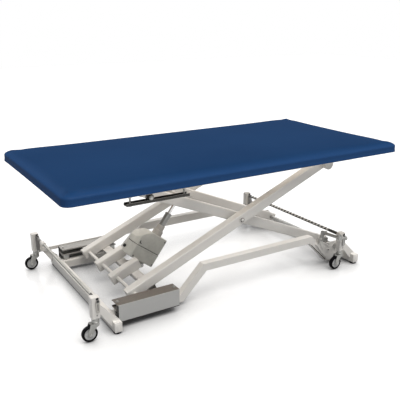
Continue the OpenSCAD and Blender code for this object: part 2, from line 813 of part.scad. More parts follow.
// Padded top: a rolled upper edge, a crown in the middle, and a recess for the board
module mattress() {
    roll = mattress_roll_r;
    z1 = mattress_t;
    levels = concat(
        [[7, 0], [2, 3], [0, 9]],
        [for (a = [0:18:90]) [roll * (1 - cos(a)), z1 - roll + roll * sin(a)]],
        [for (i = [1:4]) [roll + 90 * i, z1 + mattress_crown * (1 - pow(1 - i / 4, 2))]]);
    rings = [for (l = levels) mattress_ring(l[0], frame_z1 + l[1])];
    n = len(rings[0]);
    points = [for (ring = rings) each ring];
    sides = [for (k = [0:len(rings) - 2]) for (i = [0:n - 1]) let (j = (i + 1) % n) each
        [[k * n + i, (k + 1) * n + i, k * n + j], [k * n + j, (k + 1) * n + i, (k + 1) * n + j]]];
    top = (len(rings) - 1) * n;
    bottom_cap = [for (i = [1:n - 2]) [0, i, i + 1]];
    top_cap = [for (i = [1:n - 2]) [top, top + i + 1, top + i]];
    gap = side_gap;
    color(BLUE) difference() {
        polyhedron(points = points, faces = concat(bottom_cap, sides, top_cap));
        translate([0, 0, frame_z1 - 1]) linear_extrude(board_t + 1 + gap) polygon(
            round_rect(mattress_l - 2 * (board_margin - gap), mattress_w - 2 * (board_margin - gap), 16, 2));
    }
}

// Trough under each frame rail that keeps the guide roller against the rail
module roller_guides() {
    out = guide_half + guide_wall;
    floor_z = top_pivot_z - guide_roller_r - 3;
    rim_z = top_pivot_z - guide_shaft_r - 2;
    color(DARK) both_sides() translate([guide_x0, guide_y, 0]) rotate([90, 0, 90])
        linear_extrude(guide_x1 - guide_x0) polygon([
            [-out, floor_z - guide_wall], [out, floor_z - guide_wall],
            [out, rim_z], [guide_half, rim_z], [guide_half, floor_z],
            [-guide_half, floor_z], [-guide_half, rim_z], [-out, rim_z]]);
}

// Bolts that hang the troughs under the frame rails
module guide_bolts() {
    floor_z = top_pivot_z - guide_roller_r - 3 - guide_wall;
    color(STEEL) both_sides() for (x = [guide_x0 + 24, guide_x1 - 24]) translate([x, guide_y, 0]) {
        translate([0, 0, floor_z + guide_wall]) cylinder(r = 5, h = frame_z0 - floor_z - guide_wall);
        translate([0, 0, floor_z - 5]) cylinder(r = 8, h = 5);
    }
}

// Plates under the frame rails that the outer arms pivot in
module top_pivot_brackets() {
    t = 18;
    half = arm_h / 2 + 4;
    y1 = top_y - top_s;
    color(CREAM) both_sides() difference() {
        plate_y(y1 - t, y1, concat(
            [[top_pivot_x + half, frame_z1 - 2], [top_pivot_x - half, frame_z1 - 2]],
            arc(top_pivot_x, top_pivot_z, half, 180, 180, 12)));
        translate([top_pivot_x, 0, top_pivot_z])
            bar_y(pin_r + running_gap, y1 - t - 1, y1 + 1);
    }
}

// Lift motor

// Outline of the housing in the plane across the spindle, with its corners cut off
function housing_plan(inset) =
    let (z0 = inset - housing_down, z1 = housing_up - inset, y = housing_y - inset, c = 10)
    [[c - y, z0], [y - c, z0], [y, z0 + c], [y, z1 - 2 * c], [y - 2 * c, z1], [2 * c - y, z1],
     [-y, z1 - 2 * c], [-y, z0 + c]];

module housing_block(x0, x1, inset) {
    translate([x0, 0, 0]) rotate([90, 0, 90]) linear_extrude(x1 - x0) polygon(housing_plan(inset));
}

// Lower shell with the two lugs that hang it on the mount pin
module motor_housing() {
    wall = 4;
    lug_y = 8;
    color(GREY) on_motor() {
        difference() {
            housing_block(0, housing_h, 0);
            housing_block(wall, housing_h + 1, wall);
        }
        both_sides() difference() {
            union() {
                translate([-mount_s, 0, 0]) bar_y(14, lug_y, lug_y + 15);
                box([-mount_s, lug_y, -14], [0, lug_y + 15, 14]);
            }
            translate([-mount_s, 0, 0]) bar_y(8 + running_gap, lug_y - 1, lug_y + 16);
        }
    }
}

// Upper shell with its bevelled crown, open where the spindle tube leaves it
module motor_cover() {
    wall = 4;
    x0 = housing_h + 0.6;
    x1 = housing_h + cover_h;
    z0 = -housing_down - 1;
    z1 = housing_up + 1;
    crown = [[x0 - 2, z0], [x1 - 5, z0], [x1, z0 + 8], [x1, z1 - 70], [x1 - 18, z1 - 38],
        [x1 - 60, z1], [x0 - 2, z1]];
    color(GREY) on_motor() difference() {
        intersection() {
            housing_block(x0, x1, 0);
            plate_y(-housing_y - 1, housing_y + 1, crown);
        }
        intersection() {
            housing_block(x0 - 1, x1 - wall, wall);
            plate_y(-housing_y, housing_y, [for (p = crown) [p[0] - wall - 1, p[1] - wall / 2]]);
        }
        translate([x1 - 20, 0, 0]) rotate([0, 90, 0]) cylinder(r = tube_r + 0.2, h = 30);
    }
}

// Motor and gearbox inside the housing
module motor_unit() {
    motor_z = 72;
    color(DARK) on_motor() {
        translate([14, 0, motor_z]) rotate([0, 90, 0]) cylinder(r = 34, h = 100);
        box([14, -26, 26], [54, 26, 39]);
        translate([4, 0, 0]) rotate([0, 90, 0]) cylinder(r = 28, h = 56);
    }
}

// Spindle tube with the two-step collar that it stands in
module actuator_tube() {
    x1 = housing_h + cover_h;
    bore = rod_r + 0.1;
    start = 62;
    color(DARK) on_motor() difference() {
        union() {
            translate([start, 0, 0]) rotate([0, 90, 0]) cylinder(r = tube_r, h = x1 + tube_l - start);
            translate([x1 + 0.2, 0, 0]) rotate([0, 90, 0]) cylinder(r = 25, h = 33);
            translate([x1 + 33.2, 0, 0]) rotate([0, 90, 0]) cylinder(r = 22, h = 27);
        }
        translate([start + 6, 0, 0]) rotate([0, 90, 0]) cylinder(r = bore, h = x1 + tube_l - start);
    }
}

// Chrome rod with its eye
module actuator_rod() {
    x1 = housing_h + cover_h;
    start = -20;
    color(STEEL) on_motor() {
        translate([x1 + start, 0, 0]) rotate([0, 90, 0]) cylinder(r = rod_r, h = eye_s - start - eye_r + 2);
        translate([x1 + eye_s, 0, 0]) difference() {
            bar_y(eye_r, 3 - eye_r, eye_r - 3);
            bar_y(6, -eye_r, eye_r);
        }
    }
}

// Castors

// Stems that slide in the castor housings, each with the flange that its fork turns under
module castor_stems() {
    top = cam_z - cam_r - side_gap;
    flange_z = block_z0 - 7;
    color(STEEL) both_sides() for (x = [left_castor_x, right_castor_x])
        translate([x, castor_y, 0]) {
            translate([0, 0, flange_z + 5]) cylinder(r = stem_r, h = top - flange_z - 5);
            translate([0, 0, flange_z]) cylinder(r = stem_r + 7, h = 5);
        }
}

// Fork under one stem: head, bridge, two legs and the axle bolt
module castor_fork(x, far) {
    head_z1 = block_z0 - 7 - side_gap;
    bridge_z = wheel_z + wheel_r + 8;
    leg_y = wheel_w / 2 + 2;
    leg_t = 3;
    axle_r = 4;
    color(STEEL) far_side(far) translate([x, castor_y, 0]) {
        translate([0, 0, bridge_z + leg_t]) cylinder(r = 18, h = head_z1 - bridge_z - leg_t);
        translate([0, 0, bridge_z]) box([-30, -leg_y - leg_t, 0], [14, leg_y + leg_t, leg_t]);
        both_sides() plate_y(leg_y, leg_y + leg_t, concat(
            [[14, bridge_z], [-30, bridge_z]],
            arc(-wheel_trail, wheel_z, 12, 150, 210, 10)));
        translate([-wheel_trail, 0, wheel_z]) {
            bar_y(axle_r, -leg_y, leg_y);
            both_sides() bar_y(6.5, leg_y + leg_t, leg_y + leg_t + 3);
        }
    }
}

module on_wheel(x, far) {
    far_side(far) translate([x - wheel_trail, castor_y, wheel_z]) children();
}

module castor_hub(x, far) {
    rim = wheel_r * 0.78;
    color([0.62, 0.63, 0.63]) on_wheel(x, far) difference() {
        union() {
            bar_y(rim, -wheel_w / 2 + 4, wheel_w / 2 - 4);
            bar_y(9, -wheel_w / 2 - 1.5, wheel_w / 2 + 1.5);
        }
        bar_y(4 + running_gap, -wheel_w, wheel_w);
    }
}

module castor_tyre(x, far) {
    rim = wheel_r * 0.78 + 0.1;
    half = wheel_w / 2;
    color(BLACK) on_wheel(x, far) rotate([90, 0, 0]) rotate_extrude($fn = 72) polygon([
        [rim, 4 - half], [rim + 2, -half + 1], [wheel_r - 5, -half], [wheel_r - 1, 4 - half],
        [wheel_r, 0], [wheel_r - 1, half - 4], [wheel_r - 5, half], [rim + 2, half - 1],
        [rim, half - 4]]);
}

module near_left_fork() { castor_fork(left_castor_x, false); }
module near_left_hub() { castor_hub(left_castor_x, false); }
module near_left_tyre() { castor_tyre(left_castor_x, false); }
module far_left_fork() { castor_fork(left_castor_x, true); }
module far_left_hub() { castor_hub(left_castor_x, true); }
module far_left_tyre() { castor_tyre(left_castor_x, true); }
module near_right_fork() { castor_fork(right_castor_x, false); }
module near_right_hub() { castor_hub(right_castor_x, false); }
module near_right_tyre() { castor_tyre(right_castor_x, false); }
module far_right_fork() { castor_fork(right_castor_x, true); }
module far_right_hub() { castor_hub(right_castor_x, true); }
module far_right_tyre() { castor_tyre(right_castor_x, true); }

left_foot_beam();
right_foot_beam();
base_end_caps();
foot_pads();
near_side_rail();
far_side_rail();
near_roller_channel();
far_roller_channel();
channel_guards();
channel_fixings();
pivot_brackets();
near_left_outrigger();
far_left_outrigger();
near_right_outrigger();
far_right_outrigger();
left_cam_shaft();
left_foot_sleeve();
right_cam_shaft();
right_spiral_sleeve();
link_bar();
release_pedal();
near_inner_arm();
far_inner_arm();
base_pivot_shaft();
rod_bracket();
guide_roller_shaft();
near_outer_arm();
far_outer_arm();
outer_cross_tube();
track_roller_shaft();
motor_forks();
scissor_pins();
motor_mount_pin();
track_rollers();
guide_rollers();
frame_rails();
frame_cross_tubes();
mattress_board();
mattress();
roller_guides();
guide_bolts();
top_pivot_brackets();
motor_housing();
motor_cover();
motor_unit();
actuator_tube();
actuator_rod();
castor_stems();
near_left_fork();
near_left_hub();
near_left_tyre();
far_left_fork();
far_left_hub();
far_left_tyre();
near_right_fork();
near_right_hub();
near_right_tyre();
far_right_fork();
far_right_hub();
far_right_tyre();
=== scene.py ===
"""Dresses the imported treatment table: padded top, coated tubes, motor, castors, floor and light."""

from __future__ import annotations

import json
import logging
import math
from dataclasses import dataclass, field
from enum import Enum
from typing import Callable, Sequence

import bmesh
import bpy
from mathutils import Matrix, Vector

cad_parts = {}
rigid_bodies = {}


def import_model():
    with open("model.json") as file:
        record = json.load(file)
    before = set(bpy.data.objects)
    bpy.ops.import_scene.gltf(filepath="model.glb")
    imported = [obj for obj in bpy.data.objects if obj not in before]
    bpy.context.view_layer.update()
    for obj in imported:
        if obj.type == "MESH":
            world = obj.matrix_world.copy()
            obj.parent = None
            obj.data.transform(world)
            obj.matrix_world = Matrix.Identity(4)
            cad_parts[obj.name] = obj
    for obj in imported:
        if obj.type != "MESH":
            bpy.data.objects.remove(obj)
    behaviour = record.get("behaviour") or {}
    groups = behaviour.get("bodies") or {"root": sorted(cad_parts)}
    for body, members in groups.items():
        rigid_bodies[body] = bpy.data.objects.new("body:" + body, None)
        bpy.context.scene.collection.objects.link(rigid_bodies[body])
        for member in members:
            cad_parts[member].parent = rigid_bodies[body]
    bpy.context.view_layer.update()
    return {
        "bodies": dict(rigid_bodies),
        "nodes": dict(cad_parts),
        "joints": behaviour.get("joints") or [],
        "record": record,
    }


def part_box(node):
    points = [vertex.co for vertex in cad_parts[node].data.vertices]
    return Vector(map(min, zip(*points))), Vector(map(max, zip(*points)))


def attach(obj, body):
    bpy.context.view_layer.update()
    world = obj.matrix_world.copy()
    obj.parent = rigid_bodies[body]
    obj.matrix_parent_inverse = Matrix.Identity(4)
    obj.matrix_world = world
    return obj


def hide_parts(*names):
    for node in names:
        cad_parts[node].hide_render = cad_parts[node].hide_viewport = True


LOG = logging.getLogger("treatment_table")
MM = 0.001
NEAR, FAR = -1, 1
SIDES = (NEAR, FAR)
CASTOR_X = (-883.0, 636.0)
CASTOR_Y = 462.0
HERE = Matrix.Identity(4)
# Local X stays X, local Y becomes Z and local Z becomes -Y: outlines drawn in the side view.
SIDE_VIEW = Matrix(((1, 0, 0, 0), (0, 0, -1, 0), (0, 1, 0, 0), (0, 0, 0, 1)))

Colour = tuple[float, float, float]
Point = tuple[float, float]
Outline = Sequence[Point]
BMesh = bmesh.types.BMesh
Placed = tuple[BMesh, Matrix]
Socket = bpy.types.NodeSocket
Inputs = dict[int | str, object]


def mm(x: float, y: float, z: float) -> Vector:
    """Returns a point given in millimetres, in metres."""
    return Vector((x, y, z)) * MM


def at(x: float, y: float, z: float) -> Matrix:
    """Returns the move to a point given in millimetres."""
    return Matrix.Translation(mm(x, y, z))


def turned(degrees: float, axis: str) -> Matrix:
    """Returns the turn about an axis by an angle in degrees."""
    return Matrix.Rotation(math.radians(degrees), 4, axis)


def tinted(colour: Colour, share: float, lift: float = 0.0) -> Colour:
    """Returns a colour times a share, plus a lift."""
    return tuple(c * share + lift for c in colour)


def add_node(tree: bpy.types.NodeTree, kind: str, inputs: Inputs,
             **settings: object) -> bpy.types.Node:
    """Adds a node to a tree.

    Args:
        tree: The tree.
        kind: The node's type.
        inputs: Values or sockets for its inputs, by name or number; a list is joined in order.
        **settings: The node's own properties.

    Returns:
        The new node.
    """
    node = tree.nodes.new(kind)
    for key, value in settings.items():
        setattr(node, key, value)
    for key, value in inputs.items():
        for one in value if isinstance(value, list) else [value]:
            if isinstance(one, Socket):
                tree.links.new(one, node.inputs[key])
            else:
                node.inputs[key].default_value = one
    return node


class ShaderSheet:
    """A material's node tree, filled through short calls."""

    def __init__(self, name: str, constants: dict[str, float]) -> None:
        """Starts a material on the plain surface shader.

        Args:
            name: The material's name.
            constants: Values for the shader's own sockets.
        """
        self.material = bpy.data.materials.new(name)
        self.material.use_nodes = True
        self.tree = self.material.node_tree
        self.surface = self.tree.nodes["Principled BSDF"]
        self.coords = self.tree.nodes.new("ShaderNodeTexCoord").outputs["Object"]
        for socket, value in constants.items():
            self.surface.inputs[socket].default_value = value

    def add(self, kind: str, inputs: Inputs, **settings: object) -> bpy.types.Node:
        """Adds a node as add_node does, and returns it."""
        return add_node(self.tree, kind, inputs, **settings)

    def stretched(self, scale: Colour) -> Socket:
        """Returns object coordinates scaled by a different amount along each axis."""
        return self.add("ShaderNodeMapping", {"Vector": self.coords, "Scale": scale}).outputs[0]

    def height(self) -> Socket:
        """Returns the height of the shaded point."""
        return self.add("ShaderNodeSeparateXYZ", {0: self.coords}).outputs["Z"]

    def noise(self, scale: float, detail: float = 2.0, rough: float = 0.5,
              vector: Socket | None = None) -> Socket:
        """Adds cloudy noise.

        Args:
            scale: Features to the metre.
            detail: Octaves of finer noise.
            rough: Strength of the finer noise.
            vector: Coordinates other than the object's own.

        Returns:
            A value from 0 to 1.
        """
        return self.add("ShaderNodeTexNoise", {
            "Vector": vector or self.coords, "Scale": scale, "Detail": detail, "Roughness": rough,
        }).outputs[0]

    def cells(self, scale: float) -> Socket:
        """Returns the distance to the rounded cells of a pebbled grain."""
        inputs = {"Vector": self.coords, "Scale": scale}
        return self.add("ShaderNodeTexVoronoi", inputs, feature="SMOOTH_F1").outputs["Distance"]

    def remap(self, value: Socket, low: float, high: float, start: float, end: float) -> Socket:
        """Returns value carried from the range low to high into start to end, clamped."""
        return self.add("ShaderNodeMapRange", {
            "Value": value, "From Min": low, "From Max": high, "To Min": start, "To Max": end,
        }).outputs[0]

    def math(self, operation: str, a: object, b: object) -> Socket:
        """Returns the result of one operation on two numbers or sockets."""
        return self.add("ShaderNodeMath", {0: a, 1: b}, operation=operation).outputs[0]

    def blend(self, factor: object, a: object, b: object) -> Socket:
        """Mixes two colours, each a colour or a socket.

        Args:
            factor: The second colour's share.
            a: The first colour.
            b: The second colour.

        Returns:
            The mixed colour.
        """
        first, second = (c if isinstance(c, Socket) else (*c, 1.0) for c in (a, b))
        inputs = {0: factor, 6: first, 7: second}
        return self.add("ShaderNodeMix", inputs, data_type="RGBA").outputs[2]

    def bevel(self, radius: float) -> tuple[Socket, Socket]:
        """Rounds sharp edges in the shading.

        Args:
            radius: The rounding's radius in metres.

        Returns:
            The rounded normal, and a mask that is 1 on the edges.
        """
        rounded = self.add("ShaderNodeBevel", {"Radius": radius}, samples=6).outputs[0]
        true = self.tree.nodes.new("ShaderNodeNewGeometry").outputs["True Normal"]
        flat = self.add("ShaderNodeVectorMath", {0: rounded, 1: true}, operation="DOT_PRODUCT")
        return rounded, self.remap(flat.outputs["Value"], 0.80, 0.995, 1.0, 0.0)

    def bump(self, height: Socket, strength: float, depth: float,
             normal: Socket | None = None) -> Socket:
        """Raises the surface in the shading.

        Args:
            height: The height from 0 to 1.
            strength: How strongly it shows.
            depth: Its depth in metres.
            normal: The normal that it starts from, if not the mesh's.

        Returns:
            The new normal.
        """
        inputs = {"Height": height, "Strength": strength, "Distance": depth}
        if normal is not None:
            inputs["Normal"] = normal
        return self.add("ShaderNodeBump", inputs).outputs[0]

    def into(self, socket: str, value: Socket) -> None:
        """Feeds one socket of the surface shader."""
        self.tree.links.new(value, self.surface.inputs[socket])


@dataclass(frozen=True)
class PowderCoat:
    """Sprayed and baked paint with a faint orange peel and paler worn edges."""

    name: str
    colour: Colour
    edge: Colour
    gloss: float = 0.34
    peel: float = 620.0
    radius: float = 2.4 * MM

    def build(self) -> bpy.types.Material:
        """Builds the finish.

        Returns:
            Its material.
        """
        sheet = ShaderSheet(self.name, {
            "Coat Weight": 0.05, "Coat Roughness": 0.3, "Specular IOR Level": 0.24})
        normal, edges = sheet.bevel(self.radius)
        cloud = sheet.remap(sheet.noise(3.5, 3.0), 0.35, 0.65, 0.0, 1.0)
        body = sheet.blend(cloud, self.colour, tinted(self.colour, 0.955))
        rubbed = sheet.remap(sheet.noise(42.0, 4.0), 0.42, 0.62, 0.2, 0.5)
        worn = sheet.math("MULTIPLY", edges, rubbed)
        rough = sheet.remap(sheet.noise(26.0, 4.0), 0.3, 0.7, self.gloss - 0.05, self.gloss + 0.08)
        sheet.into("Base Color", sheet.blend(worn, body, self.edge))
        sheet.into("Roughness", rough)
        sheet.into("Normal", sheet.bump(sheet.noise(self.peel, 1.5), 0.16, 0.25 * MM, normal))
        return sheet.material


@dataclass(frozen=True)
class BareMetal:
    """Plated, brushed or polished metal; grain is the streaks' scale along X, Y and Z."""

    name: str
    colour: Colour
    roughness: float = 0.3
    grain: Colour = (900.0, 24.0, 900.0)
    depth: float = 0.10
    radius: float = 0.7 * MM

    def build(self) -> bpy.types.Material:
        """Builds the finish.

        Returns:
            Its material.
        """
        sheet = ShaderSheet(self.name, {"Metallic": 1.0})
        normal, edges = sheet.bevel(self.radius)
        streak = sheet.noise(1.0, 3.0, 0.6, sheet.stretched(self.grain))
        cloud = sheet.remap(sheet.noise(30.0, 4.0), 0.3, 0.7, 0.0, 1.0)
        body = sheet.blend(cloud, self.colour, tinted(self.colour, 0.84))
        rough = sheet.remap(streak, 0.25, 0.75, self.roughness * 0.75, self.roughness * 1.3)
        sheet.into("Base Color", sheet.blend(edges, body, tinted(self.colour, 1.18)))
        sheet.into("Roughness", rough)
        sheet.into("Normal", sheet.bump(streak, self.depth, 0.15 * MM, normal))
        return sheet.material


@dataclass(frozen=True)
class Moulded:
    """Moulded plastic or rubber with a fine spark-eroded grain."""

    name: str
    colour: Colour
    roughness: float = 0.5
    grain: float = 1500.0
    depth: float = 0.22
    radius: float = 0.8 * MM
    shine: float = 0.35

    def build(self) -> bpy.types.Material:
        """Builds the finish.

        Returns:
            Its material.
        """
        sheet = ShaderSheet(self.name, {"Specular IOR Level": self.shine})
        normal, edges = sheet.bevel(self.radius)
        dust = sheet.remap(sheet.noise(14.0, 5.0, 0.62), 0.42, 0.78, 0.0, 1.0)
        body = sheet.blend(dust, self.colour, tinted(self.colour, 1.25, 0.006))
        worn = sheet.math("MULTIPLY", edges, 0.7)
        rough = sheet.remap(dust, 0.0, 1.0, self.roughness - 0.05, self.roughness + 0.12)
        sheet.into("Base Color", sheet.blend(worn, body, tinted(self.colour, 1.5, 0.01)))
        sheet.into("Roughness", rough)
        pores = sheet.noise(self.grain, 2.0)
        sheet.into("Normal", sheet.bump(pores, self.depth, 0.12 * MM, normal))
        return sheet.material


@dataclass(frozen=True)
class Vinyl:
    """Upholstery vinyl: pebbled and softly shining, with painted light on its sides: below the
    shoulder they take a lighter colour.
    """

    name: str
    colour: Colour
    light: Colour
    # The side colour is painted light: it makes the pad's sides look lighter than its top.
    side: Colour
    pebble: float = 640.0
    # Painted light on the sides is full below the seat height and gone above the shoulder height, in
    # metres.
    seat: float = 0.700
    shoulder: float = 0.7225

    def build(self) -> bpy.types.Material:
        """Builds the finish.

        Returns:
            Its material.
        """
        sheet = ShaderSheet(self.name, {
            "Specular IOR Level": 0.0, "Coat Weight": 0.05, "Coat Roughness": 0.22})
        tone = sheet.remap(sheet.noise(1.6, 3.0, 0.5), 0.3, 0.7, 0.0, 1.0)
        cells = sheet.cells(self.pebble)
        valley = sheet.remap(cells, 0.25, 0.75, 0.0, 0.14)
        # Painted light: the sides below the seat take the lighter side colour, fading out by the
        # shoulder.
        drawn = sheet.remap(sheet.height(), self.seat, self.shoulder, 1.0, 0.0)
        body = sheet.blend(drawn, sheet.blend(tone, self.colour, self.light), self.side)
        sheet.into("Base Color", sheet.blend(valley, body, tinted(self.colour, 0.5)))
        sheet.into("Roughness", sheet.remap(sheet.noise(5.0, 4.0, 0.6), 0.35, 0.7, 0.44, 0.52))
        crease = sheet.noise(60.0, 3.0, 0.5, sheet.stretched((1.0, 1.6, 1.0)))
        broad = sheet.bump(crease, 0.05, 0.5 * MM)
        sheet.into("Normal", sheet.bump(cells, 0.30, 0.22 * MM, broad))
        return sheet.material


@dataclass(frozen=True)
class Veneer:
    """Birch plywood: long grain on its faces, thin dark glue lines on its edges."""

    name: str
    light: Colour
    dark: Colour
    ply: float = 1.5 * MM

    def build(self) -> bpy.types.Material:
        """Builds the finish.

        Returns:
            Its material.
        """
        sheet = ShaderSheet(self.name, {"Roughness": 0.62, "Specular IOR Level": 0.3})
        grain = sheet.noise(1.0, 5.0, 0.62, sheet.stretched((6.0, 120.0, 60.0)))
        layer = sheet.math("FRACT", sheet.math("DIVIDE", sheet.height(), self.ply), 0.0)
        middle = sheet.math("ABSOLUTE", sheet.math("SUBTRACT", layer, 0.5), 0.0)
        glue = sheet.remap(middle, 0.0, 0.22, 0.8, 0.0)
        face = sheet.blend(sheet.remap(grain, 0.35, 0.7, 0.0, 1.0), self.light, self.dark)
        sheet.into("Base Color", sheet.blend(glue, face, tinted(self.dark, 0.45)))
        sheet.into("Normal", sheet.bump(grain, 0.3, 0.3 * MM))
        return sheet.material


@dataclass(frozen=True)
class Felted:
    """Non-woven dust cloth: short crossed fibres, no shine."""

    name: str
    colour: Colour

    def build(self) -> bpy.types.Material:
        """Builds the finish.

        Returns:
            Its material.
        """
        sheet = ShaderSheet(self.name, {
            "Roughness": 0.92, "Specular IOR Level": 0.12, "Sheen Weight": 0.25})
        along = sheet.noise(1.0, 3.0, 0.6, sheet.stretched((1800.0, 300.0, 900.0)))
        across = sheet.noise(1.0, 3.0, 0.6, sheet.stretched((300.0, 1800.0, 900.0)))
        fibres = sheet.math("MAXIMUM", along, across)
        tone = sheet.remap(fibres, 0.5, 0.75, 0.0, 1.0)
        sheet.into("Base Color", sheet.blend(tone, self.colour, tinted(self.colour, 1.0, 0.05)))
        sheet.into("Normal", sheet.bump(fibres, 0.5, 0.2 * MM))
        return sheet.material


class Finish(Enum):
    """Every finish on the table."""

    CREAM = PowderCoat("cream_powder_coat", (0.815, 0.80, 0.77), (0.89, 0.88, 0.86))
    GUARD = PowderCoat("grey_guard_coat", (0.50, 0.505, 0.50), (0.60, 0.60, 0.59), 0.46, 900.0)
    # The near and far roller channels are one part in two colours: the near one darker, as painted
    # shade, and the far one paler, as painted light.
    CHANNEL = PowderCoat("dark_channel_coat", (0.150, 0.132, 0.115), (0.42, 0.39, 0.36), 0.36)
    CHANNEL_PALE = PowderCoat("pale_channel_coat", (0.36, 0.355, 0.34), (0.62, 0.61, 0.59), 0.36)
    TROUGH = PowderCoat("dark_trough_coat", (0.060, 0.058, 0.054), (0.40, 0.39, 0.38))
    ZINC = BareMetal("zinc_plate", (0.43, 0.43, 0.415), 0.36)
    FORK = BareMetal("fork_zinc", (0.34, 0.34, 0.325), 0.42)
    CHROME = BareMetal("polished_chrome", (0.82, 0.82, 0.82), 0.12, depth=0.02)
    STEEL_DARK = BareMetal("dark_steel", (0.20, 0.195, 0.19), 0.38)
    PEDAL = BareMetal("pedal_steel", (0.34, 0.34, 0.33), 0.40)
    TUBE = BareMetal("tube_steel", (0.30, 0.30, 0.29), 0.34, grain=(30.0, 900.0, 900.0))
    CASE = Moulded("motor_case_plastic", (0.57, 0.57, 0.53))
    CASE_DARK = Moulded("motor_case_trim", (0.022, 0.022, 0.022), 0.46, shine=0.2)
    COLLAR = Moulded("collar_plastic", (0.43, 0.415, 0.39), 0.46)
    CAP = Moulded("cap_plastic", (0.78, 0.765, 0.74), 0.45)
    DOME = Moulded("dome_plastic", (0.50, 0.485, 0.455), 0.48)
    SLEEVE = Moulded("foot_sleeve_rubber", (0.60, 0.60, 0.57), 0.55, grain=900.0, shine=0.2)
    SPIRAL_DARK = Moulded("spiral_core", (0.050, 0.050, 0.045), shine=0.2)
    SPIRAL_LIGHT = Moulded("spiral_rib", (0.58, 0.58, 0.56), 0.46)
    TYRE = Moulded("tyre_rubber", (0.004, 0.004, 0.005), 0.6, 1100.0, depth=0.3, shine=0.05)
    PAD = Moulded("pad_rubber", (0.004, 0.004, 0.005), 0.64, 900.0, depth=0.3, shine=0.05)
    ROLLER = Moulded("roller_nylon", (0.018, 0.018, 0.018), 0.34)
    HUB = Moulded("hub_plastic", (0.50, 0.505, 0.51), 0.42)
    # Its third colour is the painted light on the pad's sides.
    VINYL = Vinyl("blue_vinyl", (0.0045, 0.0325, 0.1040), (0.0065, 0.0385, 0.1180),
                  (0.0220, 0.0700, 0.1950))
    PLY = Veneer("birch_plywood", (0.66, 0.50, 0.32), (0.48, 0.33, 0.19))
    FELT = Felted("black_dust_cloth", (0.020, 0.020, 0.022))
    CORE = PowderCoat("motor_core_paint", (0.10, 0.10, 0.10), (0.3, 0.3, 0.3))

    def material(self) -> bpy.types.Material:
        """Returns this finish's material, built on first use."""
        return bpy.data.materials.get(self.value.name) or self.value.build()


def lathe(profile: Outline, steps: int = 48) -> BMesh:
    """Turns a closed profile about local Z.

    Args:
        profile: Points of (radius, height) in millimetres, ending where it began.
        steps: Segments round the axis.

    Returns:
        A closed mesh in metres.
    """
    bm = bmesh.new()
    angles = [2 * math.pi * i / steps for i in range(steps)]
    rings = []
    for radius, height in profile:
        r = radius * MM
        rings.append([bm.verts.new((r * math.cos(a), r * math.sin(a), height * MM))
                      for a in (angles[:1] if radius < 1e-6 else angles)])
    pairs = list(zip(rings, rings[1:]))
    if len(rings[0]) > 1:
        pairs.append((rings[-1], rings[0]))
    for a, b in pairs:
        for i in range(steps):
            j = (i + 1) % steps
            corners = [a[i % len(a)], a[j % len(a)], b[j % len(b)], b[i % len(b)]]
            loop = list(dict.fromkeys(corners))
            if len(loop) > 2:
                bm.faces.new(loop)
    bmesh.ops.recalc_face_normals(bm, faces=bm.faces)
    return bm


def skinned(rings: Sequence[Sequence[Vector]]) -> BMesh:
    """Closes a stack of rings with the same number of points.

    Args:
        rings: Each ring's points in metres, from the bottom up.

    Returns:
        A closed mesh.
    """
    bm = bmesh.new()
    loops = [[bm.verts.new(p) for p in ring] for ring in rings]
    bm.faces.new(loops[0])
    bm.faces.new(loops[-1])
    for a, b in zip(loops, loops[1:]):
        for i in range(len(a)):
            j = (i + 1) % len(a)
            bm.faces.new((a[i], a[j], b[j], b[i]))
    bmesh.ops.recalc_face_normals(bm, faces=bm.faces)
    return bm


def prism(outline: Outline, low: float, high: float) -> BMesh:
    """Returns an outline in millimetres extruded along local Z from low to high, in metres."""
    return skinned([[(x * MM, y * MM, z * MM) for x, y in outline] for z in (low, high)])


def soften(bm: BMesh, width: float, segments: int = 3, angle: float = 25.0) -> BMesh:
    """Rounds the edges of a mesh.

    Args:
        bm: The mesh to change.
        width: Width of the rounding in millimetres.
        segments: Faces across each rounding.
        angle: Least angle of an edge that is rounded, in degrees.

    Returns:
        The same mesh.
    """
    least = math.radians(angle)
    sharp = [e for e in bm.edges if len(e.link_faces) == 2 and e.calc_face_angle(0.0) > least]
    bmesh.ops.bevel(bm, geom=sharp, offset=width * MM, segments=segments, profile=0.6,
                    affect="EDGES", clamp_overlap=True)
    return bm


def arc(cx: float, cy: float, radius: float, start: float, sweep: float,
        steps: int = 12) -> list[Point]:
    """Returns points of an arc, with its angles in degrees."""
    angles = [math.radians(start + sweep * i / steps) for i in range(steps + 1)]
    return [(cx + radius * math.cos(a), cy + radius * math.sin(a)) for a in angles]


def round_rect(width: float, height: float, radius: float, steps: int = 5) -> list[Point]:
    """Draws a centred rectangle with round corners.

    Args:
        width: Its width.
        height: Its height.
        radius: Radius of its corners.
        steps: Segments of each corner.

    Returns:
        Its outline.
    """
    a, b = width / 2 - radius, height / 2 - radius
    return (arc(a, b, radius, 0, 90, steps) + arc(-a, b, radius, 90, 90, steps)
            + arc(-a, -b, radius, 180, 90, steps) + arc(a, -b, radius, 270, 90, steps))


def mirrored(points: Outline) -> list[Point]:
    """Returns a profile's points backwards, with their heights turned over."""
    return [(radius, -height) for radius, height in reversed(points)]


def moved(bm: BMesh, matrix: Matrix) -> bpy.types.Mesh:
    """Ends the construction of a mesh.

    Args:
        bm: The mesh under construction, which is freed.
        matrix: Its place.

    Returns:
        The mesh in its place, with its faces outwards.
    """
    bm.transform(matrix)
    if matrix.determinant() < 0:
        bmesh.ops.reverse_faces(bm, faces=bm.faces)
    mesh = bpy.data.meshes.new("mesh")
    bm.to_mesh(mesh)
    bm.free()
    return mesh


def joined(parts: Sequence[Placed]) -> BMesh:
    """Joins several meshes.

    Args:
        parts: Each mesh with its place.

    Returns:
        One mesh.
    """
    whole = bmesh.new()
    for bm, matrix in parts:
        scrap = moved(bm, matrix)
        whole.from_mesh(scrap)
        bpy.data.meshes.remove(scrap)
    return whole


